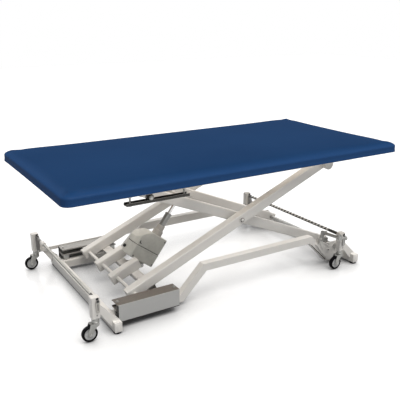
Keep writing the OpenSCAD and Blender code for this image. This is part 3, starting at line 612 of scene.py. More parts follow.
def settle(name: str, mesh: bpy.types.Mesh, body: str, finish: Finish,
           replaces: Sequence[str] = (), smooth: float = 38.0) -> None:
    """Puts a finished mesh into the scene and hands it to the frame.

    Args:
        name: The piece's name.
        mesh: Its mesh, in place.
        body: The body that it moves with.
        finish: Its finish.
        replaces: Nodes that it stands for.
        smooth: Edges sharper than this stay sharp, in degrees.
    """
    if not mesh.materials:
        mesh.materials.append(finish.material())
    mesh.shade_smooth()
    mesh.set_sharp_from_angle(angle=math.radians(smooth))
    piece = bpy.data.objects.new(name, mesh)
    bpy.context.scene.collection.objects.link(piece)
    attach(piece, body)
    if replaces:
        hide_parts(*replaces)
    LOG.info("%s: %d faces on %s", name, len(mesh.polygons), body)


def make(name: str, bm: BMesh, place: Matrix, body: str, finish: Finish,
         replaces: Sequence[str] = ()) -> None:
    """Turns a mesh under construction into a piece.

    Args:
        name: The piece's name.
        bm: The mesh under construction.
        place: Its place.
        body: The body that it moves with.
        finish: Its finish.
        replaces: Nodes that it stands for.
    """
    mesh = moved(bm, place)
    mesh.name = name
    settle(name, mesh, body, finish, replaces)


class GeometryTree:
    """One Geometry Nodes tree with named sizes, baked into plain meshes."""

    def __init__(self, name: str, sizes: dict[str, float | int]) -> None:
        """Starts a tree.

        Args:
            name: The tree's name.
            sizes: Each named input with its usual value.
        """
        self.tree = bpy.data.node_groups.new(name, "GeometryNodeTree")
        face = self.tree.interface
        face.new_socket("Geometry", in_out="INPUT", socket_type="NodeSocketGeometry")
        self.ids: dict[str, str] = {}
        for key, value in sizes.items():
            kind = "NodeSocketInt" if isinstance(value, int) else "NodeSocketFloat"
            socket = face.new_socket(key, in_out="INPUT", socket_type=kind)
            socket.default_value = value
            self.ids[key] = socket.identifier
        face.new_socket("Geometry", in_out="OUTPUT", socket_type="NodeSocketGeometry")
        self.given = self.tree.nodes.new("NodeGroupInput").outputs

    def add(self, kind: str, inputs: Inputs, out: int | str = 0, **settings: object) -> Socket:
        """Adds a node as add_node does, and returns the wanted output."""
        return add_node(self.tree, kind, inputs, **settings).outputs[out]

    def math(self, operation: str, a: object, b: object) -> Socket:
        """Returns the result of one operation on two numbers or sockets."""
        return self.add("ShaderNodeMath", {0: a, 1: b}, operation=operation)

    def close(self, geometry: Socket, finish: Finish) -> GeometryTree:
        """Ends the tree with real geometry.

        Args:
            geometry: What the tree makes.
            finish: Its finish.

        Returns:
            The tree.
        """
        real = self.add("GeometryNodeRealizeInstances", {0: geometry})
        dressed = self.add("GeometryNodeSetMaterial", {
            "Geometry": real, "Material": finish.material()})
        self.tree.links.new(dressed, self.tree.nodes.new("NodeGroupOutput").inputs[0])
        return self

    def bake(self, carrier: bpy.types.Mesh, sizes: dict[str, float | int]) -> bpy.types.Mesh:
        """Runs the tree on a carrier mesh.

        Args:
            carrier: Points, edges or faces that the tree works on.
            sizes: Values for the named inputs.

        Returns:
            The plain mesh that it makes.
        """
        holder = bpy.data.objects.new("holder", carrier)
        bpy.context.scene.collection.objects.link(holder)
        modifier = holder.modifiers.new("nodes", "NODES")
        modifier.node_group = self.tree
        for key, value in sizes.items():
            modifier[self.ids[key]] = value
        evaluated = holder.evaluated_get(bpy.context.evaluated_depsgraph_get())
        mesh = bpy.data.meshes.new_from_object(evaluated)
        holder.modifiers.remove(modifier)
        bpy.data.objects.remove(holder)
        return mesh


def carrier(points: Sequence[Vector], edges: Sequence[tuple[int, int]] = (),
            facing: Sequence[Vector] = ()) -> bpy.types.Mesh:
    """Makes a mesh of bare points and edges.

    Args:
        points: The points in metres.
        edges: The edges as pairs of points.
        facing: The way that each point faces.

    Returns:
        The mesh.
    """
    mesh = bpy.data.meshes.new("carrier")
    mesh.from_pydata([tuple(p) for p in points], list(edges), [])
    if facing:
        attribute = mesh.attributes.new("facing", "FLOAT_VECTOR", "POINT")
        for item, way in zip(attribute.data, facing):
            item.vector = way
    return mesh


def bead_tree() -> GeometryTree:
    """Makes the tree that lays a rippled weld bead along edges.

    Returns:
        The tree.
    """
    tree = GeometryTree("weld_bead", {
        "Bead Width": 5.0 * MM, "Ripple Step": 2.2 * MM, "Seed": 3})
    given = tree.given
    curve = tree.add("GeometryNodeMeshToCurve", {0: given["Geometry"]})
    dots = tree.add("GeometryNodeResampleCurve", {
        "Curve": curve, "Length": given["Ripple Step"]}, mode="LENGTH")
    half = tree.math("MULTIPLY", given["Bead Width"], 0.5)
    drop = tree.add("GeometryNodeMeshUVSphere", {"Segments": 8, "Rings": 5, "Radius": half})
    turn = tree.add("FunctionNodeRandomValue", {8: given["Seed"]}, out=1, data_type="FLOAT")
    size = tree.add("ShaderNodeMapRange", {0: turn, 1: 0.0, 2: 1.0, 3: 0.86, 4: 1.1})
    beads = tree.add("GeometryNodeInstanceOnPoints", {
        "Points": dots, "Instance": drop, "Scale": size})
    return tree.close(beads, Finish.CREAM)


def stud_tree(finish: Finish) -> GeometryTree:
    """Makes the tree that sets a washered bolt head on each point, along the way that it faces.

    Args:
        finish: The finish of the heads.

    Returns:
        The tree.
    """
    tree = GeometryTree(f"bolt_heads_{finish.name.lower()}", {
        "Head Radius": 7.0 * MM, "Head Height": 4.5 * MM, "Washer Radius": 9.0 * MM,
        "Washer Height": 1.2 * MM, "Sides": 6})
    given = tree.given
    radius, rise = given["Head Radius"], given["Washer Height"]
    trim = tree.math("MULTIPLY", radius, 0.86)
    lip = tree.math("MULTIPLY", given["Head Height"], 0.16)
    tall = tree.math("MULTIPLY", given["Head Height"], 0.84)
    shank = tree.add("GeometryNodeMeshCylinder", {
        "Vertices": given["Sides"], "Radius": radius, "Depth": tall})
    crown = tree.add("GeometryNodeMeshCone", {
        "Vertices": given["Sides"], "Radius Bottom": radius, "Radius Top": trim, "Depth": lip})
    washer = tree.add("GeometryNodeMeshCylinder", {
        "Vertices": 28, "Radius": given["Washer Radius"], "Depth": rise})

    def lifted(mesh: Socket, parts: list[tuple[Socket, float]]) -> Socket:
        """Moves a mesh up.

        Args:
            mesh: The mesh.
            parts: Sizes that add up to the move, each with its share.

        Returns:
            The moved mesh.
        """
        total: Socket | float = 0.0
        for size, share in parts:
            total = tree.math("ADD", total, tree.math("MULTIPLY", size, share))
        offset = tree.add("ShaderNodeCombineXYZ", {"Z": total})
        return tree.add("GeometryNodeTransform", {"Geometry": mesh, "Translation": offset})

    head = tree.add("GeometryNodeJoinGeometry", {0: [
        lifted(washer, [(rise, 0.5)]),
        lifted(shank, [(rise, 1.0), (tall, 0.5)]),
        lifted(crown, [(rise, 1.0), (tall, 1.0)]),
    ]})
    way = tree.add("GeometryNodeInputNamedAttribute", {"Name": "facing"}, data_type="FLOAT_VECTOR")
    turn = tree.add("FunctionNodeAlignRotationToVector", {"Vector": way}, axis="Z")
    heads = tree.add("GeometryNodeInstanceOnPoints", {
        "Points": given["Geometry"], "Instance": head, "Rotation": turn})
    return tree.close(heads, finish)


def rib_tree(finish: Finish) -> GeometryTree:
    """Makes the tree that threads rings along local Z.

    Args:
        finish: The finish of the rings.

    Returns:
        The tree.
    """
    tree = GeometryTree(f"rib_rings_{finish.name.lower()}", {
        "Count": 12, "Spacing": 6.0 * MM, "Ring Radius": 12.0 * MM, "Rib Radius": 1.0 * MM})
    given = tree.given
    step = tree.add("ShaderNodeCombineXYZ", {"Z": given["Spacing"]})
    line = tree.add("GeometryNodeMeshLine", {
        "Count": given["Count"], "Offset": step}, mode="OFFSET")
    ring, section = (tree.add("GeometryNodeCurvePrimitiveCircle", {
        "Resolution": count, "Radius": given[size]})
        for count, size in ((36, "Ring Radius"), (8, "Rib Radius")))
    rib = tree.add("GeometryNodeCurveToMesh", {"Curve": ring, "Profile Curve": section})
    ribs = tree.add("GeometryNodeInstanceOnPoints", {"Points": line, "Instance": rib})
    return tree.close(ribs, finish)


def spiral_tree(finish: Finish) -> GeometryTree:
    """Makes the tree that winds one flat rib round local Z.

    Args:
        finish: The finish of the rib.

    Returns:
        The tree.
    """
    tree = GeometryTree("spiral_rib", {
        "Turns": 20.0, "Length": 0.8, "Spiral Radius": 7.0 * MM, "Rib Width": 12.0 * MM,
        "Rib Depth": 1.6 * MM})
    given = tree.given
    spiral = tree.add("GeometryNodeCurveSpiral", {
        "Resolution": 26, "Rotations": given["Turns"], "Start Radius": given["Spiral Radius"],
        "End Radius": given["Spiral Radius"], "Height": given["Length"]})
    upright = tree.add("GeometryNodeSetCurveNormal", {"Curve": spiral}, mode="Z_UP")
    section = tree.add("GeometryNodeCurvePrimitiveQuadrilateral", {
        "Width": given["Rib Depth"], "Height": given["Rib Width"]})
    rounded = tree.add("GeometryNodeFilletCurve", {
        "Curve": section, "Count": 2, "Radius": 0.7 * MM}, mode="POLY")
    rib = tree.add("GeometryNodeCurveToMesh", {
        "Curve": upright, "Profile Curve": rounded, "Fill Caps": True})
    return tree.close(rib, finish)


def staple_tree() -> GeometryTree:
    """Makes the tree that drives staples along edges, each crown along its edge.

    Returns:
        The tree.
    """
    tree = GeometryTree("upholstery_staples", {
        "Staple Step": 26.0 * MM, "Crown": 10.0 * MM, "Wire": 1.1 * MM})
    given = tree.given
    curve = tree.add("GeometryNodeMeshToCurve", {0: given["Geometry"]})
    dots = add_node(tree.tree, "GeometryNodeCurveToPoints", {
        "Curve": curve, "Length": given["Staple Step"]}, mode="LENGTH").outputs
    size = tree.add("ShaderNodeCombineXYZ", {
        "X": given["Wire"], "Y": given["Wire"], "Z": given["Crown"]})
    wire = tree.add("GeometryNodeMeshCube", {"Size": size})
    staples = tree.add("GeometryNodeInstanceOnPoints", {
        "Points": dots["Points"], "Instance": wire, "Rotation": dots["Rotation"]})
    return tree.close(staples, Finish.ZINC)


def rectangle(centre: Vector, across: Vector, up: Vector) -> list[Vector]:
    """Returns the closed run round a rectangle with the given half axes."""
    corners = [centre + across * a + up * b for a, b in ((1, 1), (-1, 1), (-1, -1), (1, -1))]
    return corners + corners[:1]


@dataclass
class Trees:
    """The Geometry Nodes trees that more than one assembly uses."""

    bead: GeometryTree = field(default_factory=bead_tree)
    zinc_stud: GeometryTree = field(default_factory=lambda: stud_tree(Finish.ZINC))
    dark_stud: GeometryTree = field(default_factory=lambda: stud_tree(Finish.STEEL_DARK))

    def welds(self, name: str, runs: Sequence[Sequence[Vector]], body: str,
              width: float = 4.4) -> None:
        """Lays weld beads along closed or open runs of points.

        Args:
            name: The piece's name.
            runs: Runs of points in metres.
            body: The body that they ride on.
            width: Width of a bead in millimetres.
        """
        points: list[Vector] = []
        edges: list[tuple[int, int]] = []
        for run in runs:
            edges += [(len(points) + i, len(points) + i + 1) for i in range(len(run) - 1)]
            points += run
        mesh = self.bead.bake(carrier(points, edges), {
            "Bead Width": width * MM, "Ripple Step": width * 0.5 * MM})
        settle(name, mesh, body, Finish.CREAM, smooth=80.0)

    def bolts(self, name: str, spots: Sequence[tuple[Vector, Vector]], body: str, radius: float,
              height: float, washer: float, dark: bool = False, sides: int = 6) -> None:
        """Sets bolt heads.

        Args:
            name: The piece's name.
            spots: Each seat's point and the way that the head faces.
            body: The body that they ride on.
            radius: Radius of a head in millimetres.
            height: Height of a head in millimetres.
            washer: Radius of the washer in millimetres.
            dark: Dark steel in place of zinc.
            sides: Sides of a head.
        """
        tree, finish = ((self.dark_stud, Finish.STEEL_DARK) if dark
                        else (self.zinc_stud, Finish.ZINC))
        mesh = tree.bake(carrier([s[0] for s in spots], facing=[s[1] for s in spots]), {
            "Head Radius": radius * MM, "Head Height": height * MM,
            "Washer Radius": washer * MM, "Sides": sides})
        settle(name, mesh, body, finish, smooth=25.0)


@dataclass
class Linkage:
    """Places of the scissor and the motor at rest, in millimetres."""

    angle: float = 22.5
    low: float = 700.0
    high: float = 625.0
    base_pivot: Point = (672.0, 105.0)
    mount: Point = (-534.0, -71.0)
    motor_angle: float = 53.0
    motor_foot: float = 17.0

    @property
    def centre(self) -> Vector:
        """Returns the scissor's centre pivot in metres."""
        a, (x, z) = math.radians(self.angle), self.base_pivot
        return mm(x - self.low * math.cos(a), 0, z + self.low * math.sin(a))

    def outer(self) -> Matrix:
        """Returns the frame of the outer arms, with X up along them."""
        return Matrix.Translation(self.centre) @ turned(-self.angle, "Y")

    def inner(self) -> Matrix:
        """Returns the frame of the inner arms, with X down along them."""
        return Matrix.Translation(self.centre) @ turned(self.angle, "Y")

    def motor(self) -> Matrix:
        """Returns the frame of the motor, with X along the spindle from the housing's foot."""
        mount = Matrix.Translation(self.outer() @ mm(self.mount[0], 0, self.mount[1]))
        return mount @ turned(-self.motor_angle, "Y") @ at(self.motor_foot, 0, 0)


@dataclass
class PaddedTop:
    """The vinyl mattress, its board, and the dust cloth stapled under it."""

    half_length: float = 1008.0
    half_width: float = 505.0
    base: float = 670.0
    edge: float = 49.0
    crown: float = 5.0
    crown_run: float = 300.0
    corner: float = 43.0
    roll_width: float = 56.0
    roll_height: float = 20.0
    draw: float = 3.0
    rim_drop: float = 4.0
    recess: float = 40.6
    recess_depth: float = 12.4
    cell: float = 16.0
    edge_cells: tuple[float, ...] = (0.0, 1.2, 4.0, 9.0, 16.0, 25.0)
    side_bands: tuple[Point, ...] = ((0.12, 0.3), (0.5, 0.8), (0.9, 0.2))
    held_height: float = 3.0
    held_margin: float = 30.0
    pressure: float = 4.0
    stiffness: float = 22.0
    bending: float = 0.8
    cloth_mass: float = 0.3
    cloth_quality: int = 6
    cloth_frames: int = 20
    swell: float = 4.0
    hem_margin: float = 22.0
    opening: tuple[float, float, float] = (-816.0, 747.0, 403.0)
    liner_cell: float = 18.0
    liner_thickness: float = 0.5
    ripple: float = 0.35
    staple_margin: float = 8.0

    def lines(self, half: float) -> list[float]:
        """Spaces the grid from one edge to the other, closer together near both.

        Args:
            half: Half the distance between the edges.

        Returns:
            Each line's distance from the first edge.
        """
        near = [*self.edge_cells, self.recess - 0.6, self.recess, self.corner]
        inner = 2 * (half - self.corner)
        count = round(inner / self.cell)
        middle = [self.corner + inner * i / count for i in range(1, count)]
        return near + middle + [2 * half - t for t in reversed(near)]

    def plan(self, u: float, v: float) -> tuple[float, float, float]:
        """Places a grid crossing.

        Args:
            u: Distance from the left edge.
            v: Distance from the near edge.

        Returns:
            X and Y, and the distance in from the rounded outline.
        """
        x, y = u - self.half_length, v - self.half_width
        cx, cy = self.half_length - self.corner, self.half_width - self.corner
        dx, dy = abs(x) - cx, abs(y) - cy
        inset = min(self.half_length - abs(x), self.half_width - abs(y))
        if dx > 0 and dy > 0:
            scale = max(dx, dy) / math.hypot(dx, dy)
            dx, dy = dx * scale, dy * scale
            inset = self.corner - math.hypot(dx, dy)
            x, y = math.copysign(cx + dx, x), math.copysign(cy + dy, y)
        s, t = (x / self.half_length + 1) / 2, (y / self.half_width + 1) / 2
        y -= math.copysign(self.draw * 4 * s * (1 - s), y) * (abs(y) / self.half_width) ** 4
        x -= math.copysign(self.draw * 4 * t * (1 - t), x) * (abs(x) / self.half_length) ** 8
        return x, y, inset

    def top_height(self, inset: float) -> float:
        """Shapes the upper surface: rolled at its edge, crowned in the middle.

        Args:
            inset: Distance in from the outline.

        Returns:
            The height above the board's underside.
        """
        depth = max(0.0, self.roll_width - inset) / self.roll_width
        rolled = self.edge - self.roll_height * (1 - math.sqrt(max(0.0, 1 - depth * depth)))
        rise = min(max(inset - self.roll_width, 0.0) / self.crown_run, 1.0)
        return rolled + self.crown * (1 - (1 - rise) ** 2)

    def shell(self) -> bpy.types.Mesh:
        """Draws the pad before it is inflated.

        Returns:
            Its closed mesh.
        """
        bm = bmesh.new()
        us, vs = self.lines(self.half_length), self.lines(self.half_width)
        across, along = len(us) - 1, len(vs) - 1

        def sheet(height: Callable[[float], float],
                  pull: Callable[[float], float]) -> dict[tuple[int, int], bmesh.types.BMVert]:
            """Lays out one grid of points.

            Args:
                height: Gives the height at a distance in from the outline.
                pull: Gives how far a point is drawn in there.

            Returns:
                The points by column and row.
            """
            grid = {}
            for i, u in enumerate(us):
                for j, v in enumerate(vs):
                    x, y, inset = self.plan(u, v)
                    drawn = pull(inset)
                    grid[i, j] = bm.verts.new(mm(
                        x * (1 - drawn / self.half_length), y * (1 - drawn / self.half_width),
                        self.base + height(inset)))
            return grid

        upper = sheet(self.top_height, lambda inset: 0.0)
        lower = sheet(
            lambda inset: self.recess_depth if inset > self.recess - 0.3 else -self.rim_drop,
            lambda inset: 1.6 if inset < 1.0 else 0.0)
        for grid, order in ((upper, 1), (lower, -1)):
            for i in range(across):
                for j in range(along):
                    loop = [grid[i, j], grid[i + 1, j], grid[i + 1, j + 1], grid[i, j + 1]]
                    bm.faces.new(loop[::order])
        rim = ([(i, 0) for i in range(across)] + [(across, j) for j in range(along)]
               + [(i, along) for i in range(across, 0, -1)]
               + [(0, j) for j in range(along, 0, -1)])
        bands = [upper]
        for share, bulge in self.side_bands:
            band = {}
            for k in rim:
                out = (upper[k].co * Vector((1, 1, 0))).normalized() * bulge * MM
                band[k] = bm.verts.new(upper[k].co.lerp(lower[k].co, share) + out)
            bands.append(band)
        bands.append(lower)
        for a, b in zip(bands, bands[1:]):
            for k, n in zip(rim, rim[1:] + rim[:1]):
                bm.faces.new((a[k], b[k], b[n], a[n]))
        bmesh.ops.recalc_face_normals(bm, faces=bm.faces)
        mesh = moved(bm, HERE)
        mesh.name = "mattress_pad"
        return mesh

    def inflate(self, pad: bpy.types.Object) -> None:
        """Swells the pad as cloth over its held underside, and keeps each point's move short.

        Args:
            pad: The pad.
        """
        mesh = pad.data
        rest = [v.co.copy() for v in mesh.vertices]
        held = pad.vertex_groups.new(name="held")
        edge = (self.base + self.held_height) * MM
        low = (self.base + self.recess_depth + 1.0) * MM
        x = (self.half_length - self.held_margin) * MM
        y = (self.half_width - self.held_margin) * MM
        held.add([v.index for v in mesh.vertices if v.co.z < edge
                  or (v.co.z < low and abs(v.co.x) < x and abs(v.co.y) < y)], 1.0, "REPLACE")
        cloth = pad.modifiers.new("padding", "CLOTH")
        settings = cloth.settings
        settings.vertex_group_mass = "held"
        settings.quality = self.cloth_quality
        settings.mass = self.cloth_mass
        settings.tension_stiffness = settings.compression_stiffness = self.stiffness
        settings.bending_stiffness = self.bending
        settings.use_pressure = True
        settings.uniform_pressure_force = self.pressure
        settings.effector_weights.gravity = 0.0
        cloth.point_cache.frame_start, cloth.point_cache.frame_end = 1, self.cloth_frames
        scene = bpy.context.scene
        for frame in range(1, self.cloth_frames + 1):
            scene.frame_set(frame)
        swollen = pad.evaluated_get(bpy.context.evaluated_depsgraph_get()).to_mesh()
        limit = self.swell * MM
        after = []
        for old, vertex in zip(rest, swollen.vertices):
            step = vertex.co - old
            after.append(old + step * min(1.0, limit / max(step.length, 1e-9)))
        pad.modifiers.remove(cloth)
        pad.vertex_groups.remove(held)
        for vertex, place in zip(mesh.vertices, after):
            vertex.co = place
        scene.frame_set(1)

    def build(self) -> None:
        """Makes the pad, the dust cloth and its staples."""
        self.pad()
        self.liner()

    def pad(self) -> None:
        """Makes the vinyl pad, swollen as cloth and subdivided once."""
        pad = bpy.data.objects.new("mattress_pad", self.shell())
        pad.data.materials.append(Finish.VINYL.material())
        bpy.context.scene.collection.objects.link(pad)
        self.inflate(pad)
        finer = pad.modifiers.new("finer", "SUBSURF")
        finer.levels = finer.render_levels = 1
        evaluated = pad.evaluated_get(bpy.context.evaluated_depsgraph_get())
        final = bpy.data.meshes.new_from_object(evaluated)
        pad.modifiers.remove(finer)
        pad.data = final
        final.shade_smooth()
        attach(pad, "top")
        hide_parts("mattress")
        LOG.info("mattress_pad: %d faces on top", len(final.polygons))

    def liner(self) -> None:
        """Makes the dust cloth in four strips round the frame, with staples along its hem."""
        z = self.base - 0.9
        x1, y1 = self.half_length - self.hem_margin, self.half_width - self.hem_margin
        left, right, side = self.opening
        left, right, side = left - 4.0, right + 4.0, side + 3.0
        strips = [((-x1, left), (-y1, y1)), ((right, x1), (-y1, y1)),
                  ((left, right), (-y1, -side)), ((left, right), (side, y1))]
        parts = [(self.strip(across, along, z), HERE) for across, along in strips]
        make("dust_cloth", joined(parts), HERE, "top", Finish.FELT)
        hem = rectangle(mm(0, 0, z - 1.3), mm(x1 - self.staple_margin, 0, 0),
                        mm(0, y1 - self.staple_margin, 0))
        mesh = staple_tree().bake(carrier(hem[:4], [(0, 1), (1, 2), (2, 3), (3, 0)]), {})
        settle("cloth_staples", mesh, "top", Finish.ZINC, smooth=30.0)

    def strip(self, across: Point, along: Point, z: float) -> BMesh:
        """Makes one slightly rippled strip of the dust cloth.

        Args:
            across: Where it starts and ends along X.
            along: Where it starts and ends along Y.
            z: Its height.

        Returns:
            Its closed mesh.
        """
        bm = bmesh.new()
        (xa, xb), (ya, yb) = across, along
        nx, ny = (max(2, round((b - a) / self.liner_cell)) for a, b in (across, along))
        grid = [[bm.verts.new(mm(
            xa + (xb - xa) * i / nx, ya + (yb - ya) * j / ny,
            z - self.ripple * math.sin(i * 1.7 + j * 0.9) * math.sin(j * 1.3)))
            for j in range(ny + 1)] for i in range(nx + 1)]
        for i in range(nx):
            for j in range(ny):
                bm.faces.new((grid[i][j], grid[i][j + 1], grid[i + 1][j + 1], grid[i + 1][j]))
        solid = bmesh.ops.extrude_face_region(bm, geom=list(bm.faces))["geom"]
        bmesh.ops.translate(bm, verts=[g for g in solid if isinstance(g, bmesh.types.BMVert)],
                            vec=mm(0, 0, -self.liner_thickness))
        bmesh.ops.recalc_face_normals(bm, faces=bm.faces)
        return bm


@dataclass
class TopFrame:
    """The welded frame under the mattress, with its roller guides and pivot brackets."""

    rail_y: float = 383.0
    low: float = 630.0
    high: float = 670.0
    cross: tuple[float, ...] = (-790.0, -250.0, 200.0, 690.0)
    pivot: Point = (602.7, 612.05)
    tube_half: float = 20.3
    bracket_half: float = 31.0
    bracket_faces: Point = (38.4, 19.8)
    bush_y: float = 344.8
    bolt_x: Point = (-653.0, -367.0)
    stud_low: float = 591.4
    stud_seat: float = 588.0
    nut_radius: float = 9.2
    nut_height: float = 6.5
    guide_middle: float = -510.1
    guide_low: float = 601.0
    guide_length: float = 333.0
    guide_lip: float = 15.75

    def build(self, trees: Trees) -> None:
        """Adds the welds, the guide studs, the pivot bushes and bright strips of painted highlight on
        the guides' lips.

        Args:
            trees: The shared trees.
        """
        middle = (self.low + self.high) / 2
        seam = 19.6
        runs = [rectangle(mm(x, s * (self.rail_y - seam), middle), mm(self.tube_half, 0, 0),
                          mm(0, 0, seam)) for x in self.cross for s in SIDES]
        x, z = self.pivot[0], self.low - 0.4
        for s in SIDES:
            for inwards in self.bracket_faces:
                y = s * (self.rail_y - inwards)
                runs.append([mm(x + end * self.bracket_half, y, z) for end in (-1, 1)])
        trees.welds("top_welds", runs, "top")
        for side in SIDES:
            self.guide_bolts(side, trees)
        self.bushes()
        self.guide_rims()

    def guide_rims(self) -> None:
        """Adds bright zinc strips along the lips of both guides' walls: painted highlights."""
        parts = []
        for s in SIDES:
            for offset in (-self.guide_lip, self.guide_lip):
                # Each strip stands for a highlight on a guide's lip: painted highlight.
                lip = round_rect(self.guide_length, 3.3, 0.4)
                strip = soften(prism(lip, 0, 0.5), 0.2, 2)
                y = s * self.rail_y + offset
                parts.append((strip, at(self.guide_middle, y, self.guide_low)))
        make("guide_rims", joined(parts), HERE, "top", Finish.ZINC)

    def guide_bolts(self, side: int, trees: Trees) -> None:
        """Makes one guide's studs, each with a threaded shank, a nut above and a hex head below.

        Args:
            side: Which guide, near or far.
            trees: The shared trees.
        """
        name = "near" if side == NEAR else "far"
        pitch, crest, root, tip = 2.2, 4.6, 4.0, 38.5
        thread = [(0.0, 1.2)]
        for k in range(17):
            thread += [(crest, 1.2 + k * pitch), (root, 2.3 + k * pitch)]
        thread += [(crest, tip), (0.0, tip)]
        r, angles = self.nut_radius, [math.radians(a) for a in range(0, 360, 60)]
        hexagon = [(r * math.cos(a), r * math.sin(a)) for a in angles]
        parts, y = [], side * self.rail_y
        for x in self.bolt_x:
            parts.append((lathe(thread, 20), at(x, y, self.stud_low)))
            nut = soften(prism(hexagon, 0, self.nut_height), 0.7, 2)
            parts.append((nut, at(x, y, self.low - self.nut_height - 0.1)))
        make(f"{name}_guide_studs", joined(parts), HERE, "top", Finish.ZINC,
             ["guide_bolts"])
        spots = [(mm(x, y, self.stud_seat), Vector((0, 0, -1))) for x in self.bolt_x]
        trees.bolts(f"{name}_guide_heads", spots, "top", 8.0, 5.0, 10.0)

    def bushes(self) -> None:
        """Adds the collars on the pivot brackets' inner faces."""
        ring = [(10.3, 0.0), (15.5, 0.0), (16.5, 1.0), (16.5, 3.2), (15.5, 4.2), (10.3, 4.2)]
        x, z = self.pivot
        parts = [(lathe(ring, 40), at(x, s * self.bush_y, z) @ turned(90 * s, "X"))
                 for s in SIDES]
        make("top_pivot_bushes", joined(parts), HERE, "top", Finish.ZINC)


@dataclass
class ScissorArms:
    """Welds and pin ends of the two scissor frames."""

    cross_tube_edges: Point = (-579.0, -624.0)
    fork_faces: Point = (72.0, 120.0)
    motor_ear_faces: Point = (24.0, 32.0)
    outer_weld_z: float = -27.8
    inner_tube_x: float = -295.2
    inner_tube_half: float = 20.2
    inner_tube_end: float = 224.6
    rod_ear_faces: Point = (13.0, 21.0)
    pin_end: float = 330.0
    link: Linkage = field(default_factory=Linkage)

    def build(self, trees: Trees) -> None:
        """Adds the welds and the pin ends of both frames.

        Args:
            trees: The shared trees.
        """
        self.outer_welds(trees)
        self.inner_welds(trees)
        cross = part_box("rod_bracket")
        LOG.info("rod bracket spans %.3f m", (cross[1] - cross[0]).y)
        self.pin_ends()

    @staticmethod
    def run(frame: Matrix, *points: tuple[float, float, float]) -> list[Vector]:
        """Returns points of an arm's frame, in metres from the origin."""
        return [frame @ mm(*p) for p in points]

    def outer_welds(self, trees: Trees) -> None:
        """Adds the welds of the motor's forks and ears to the outer arms.

        Args:
            trees: The shared trees.
        """
        outer, z, runs = self.link.outer(), self.outer_weld_z, []
        for s in SIDES:
            for x in self.cross_tube_edges:
                for y in ((76, 116), (277, 300)):
                    runs.append(self.run(outer, *((x, s * end, z) for end in y)))
            for y in self.fork_faces:
                runs.append(self.run(outer, (-621.0, s * y, z), (-581.0, s * y, z)))
            for y in self.motor_ear_faces:
                runs.append(self.run(outer, (-578.6, s * y, -64.0), (-578.6, s * y, -33.0)))
        trees.welds("outer_frame_welds", runs, "outer_frame")

    def inner_welds(self, trees: Trees) -> None:
        """Adds the welds of the inner cross tube and of the rod's ears.

        Args:
            trees: The shared trees.
        """
        inner, x, half = self.link.inner(), self.inner_tube_x, self.inner_tube_half
        tubes = [rectangle(mm(x, s * self.inner_tube_end, 0), mm(half, 0, 0), mm(0, 0, half))
                 for s in SIDES]
        runs = [[inner @ p for p in tube] for tube in tubes]
        for s in SIDES:
            for y in self.rod_ear_faces:
                runs.append(self.run(inner, (x + 20.4, s * y, -17.0), (x + 20.4, s * y, 17.0)))
        trees.welds("inner_frame_welds", runs, "inner_frame")

    def pin_ends(self) -> None:
        """Adds a white domed cap in a dark ring on the outer end of each centre pin."""
        ring = [(8.2, -0.2), (12.0, -0.2), (12.2, 0.4), (11.8, 1.2), (8.8, 1.2), (8.2, 0.6)]
        cap = [(0.0, -0.2), (8.4, -0.2), (8.8, 1.0), (8.2, 2.8), (6.2, 4.4), (3.2, 5.4),
               (0.0, 5.8)]
        for name, profile, finish in (("rings", ring, Finish.CASE_DARK),
                                      ("domes", cap, Finish.CAP)):
            parts = [(lathe(profile, 32),
                      Matrix.Translation(self.link.centre + mm(0, s * self.pin_end, 0))
                      @ turned(-90 * s, "X")) for s in SIDES]
            make(f"centre_pin_{name}", joined(parts), HERE, "outer_frame", finish)


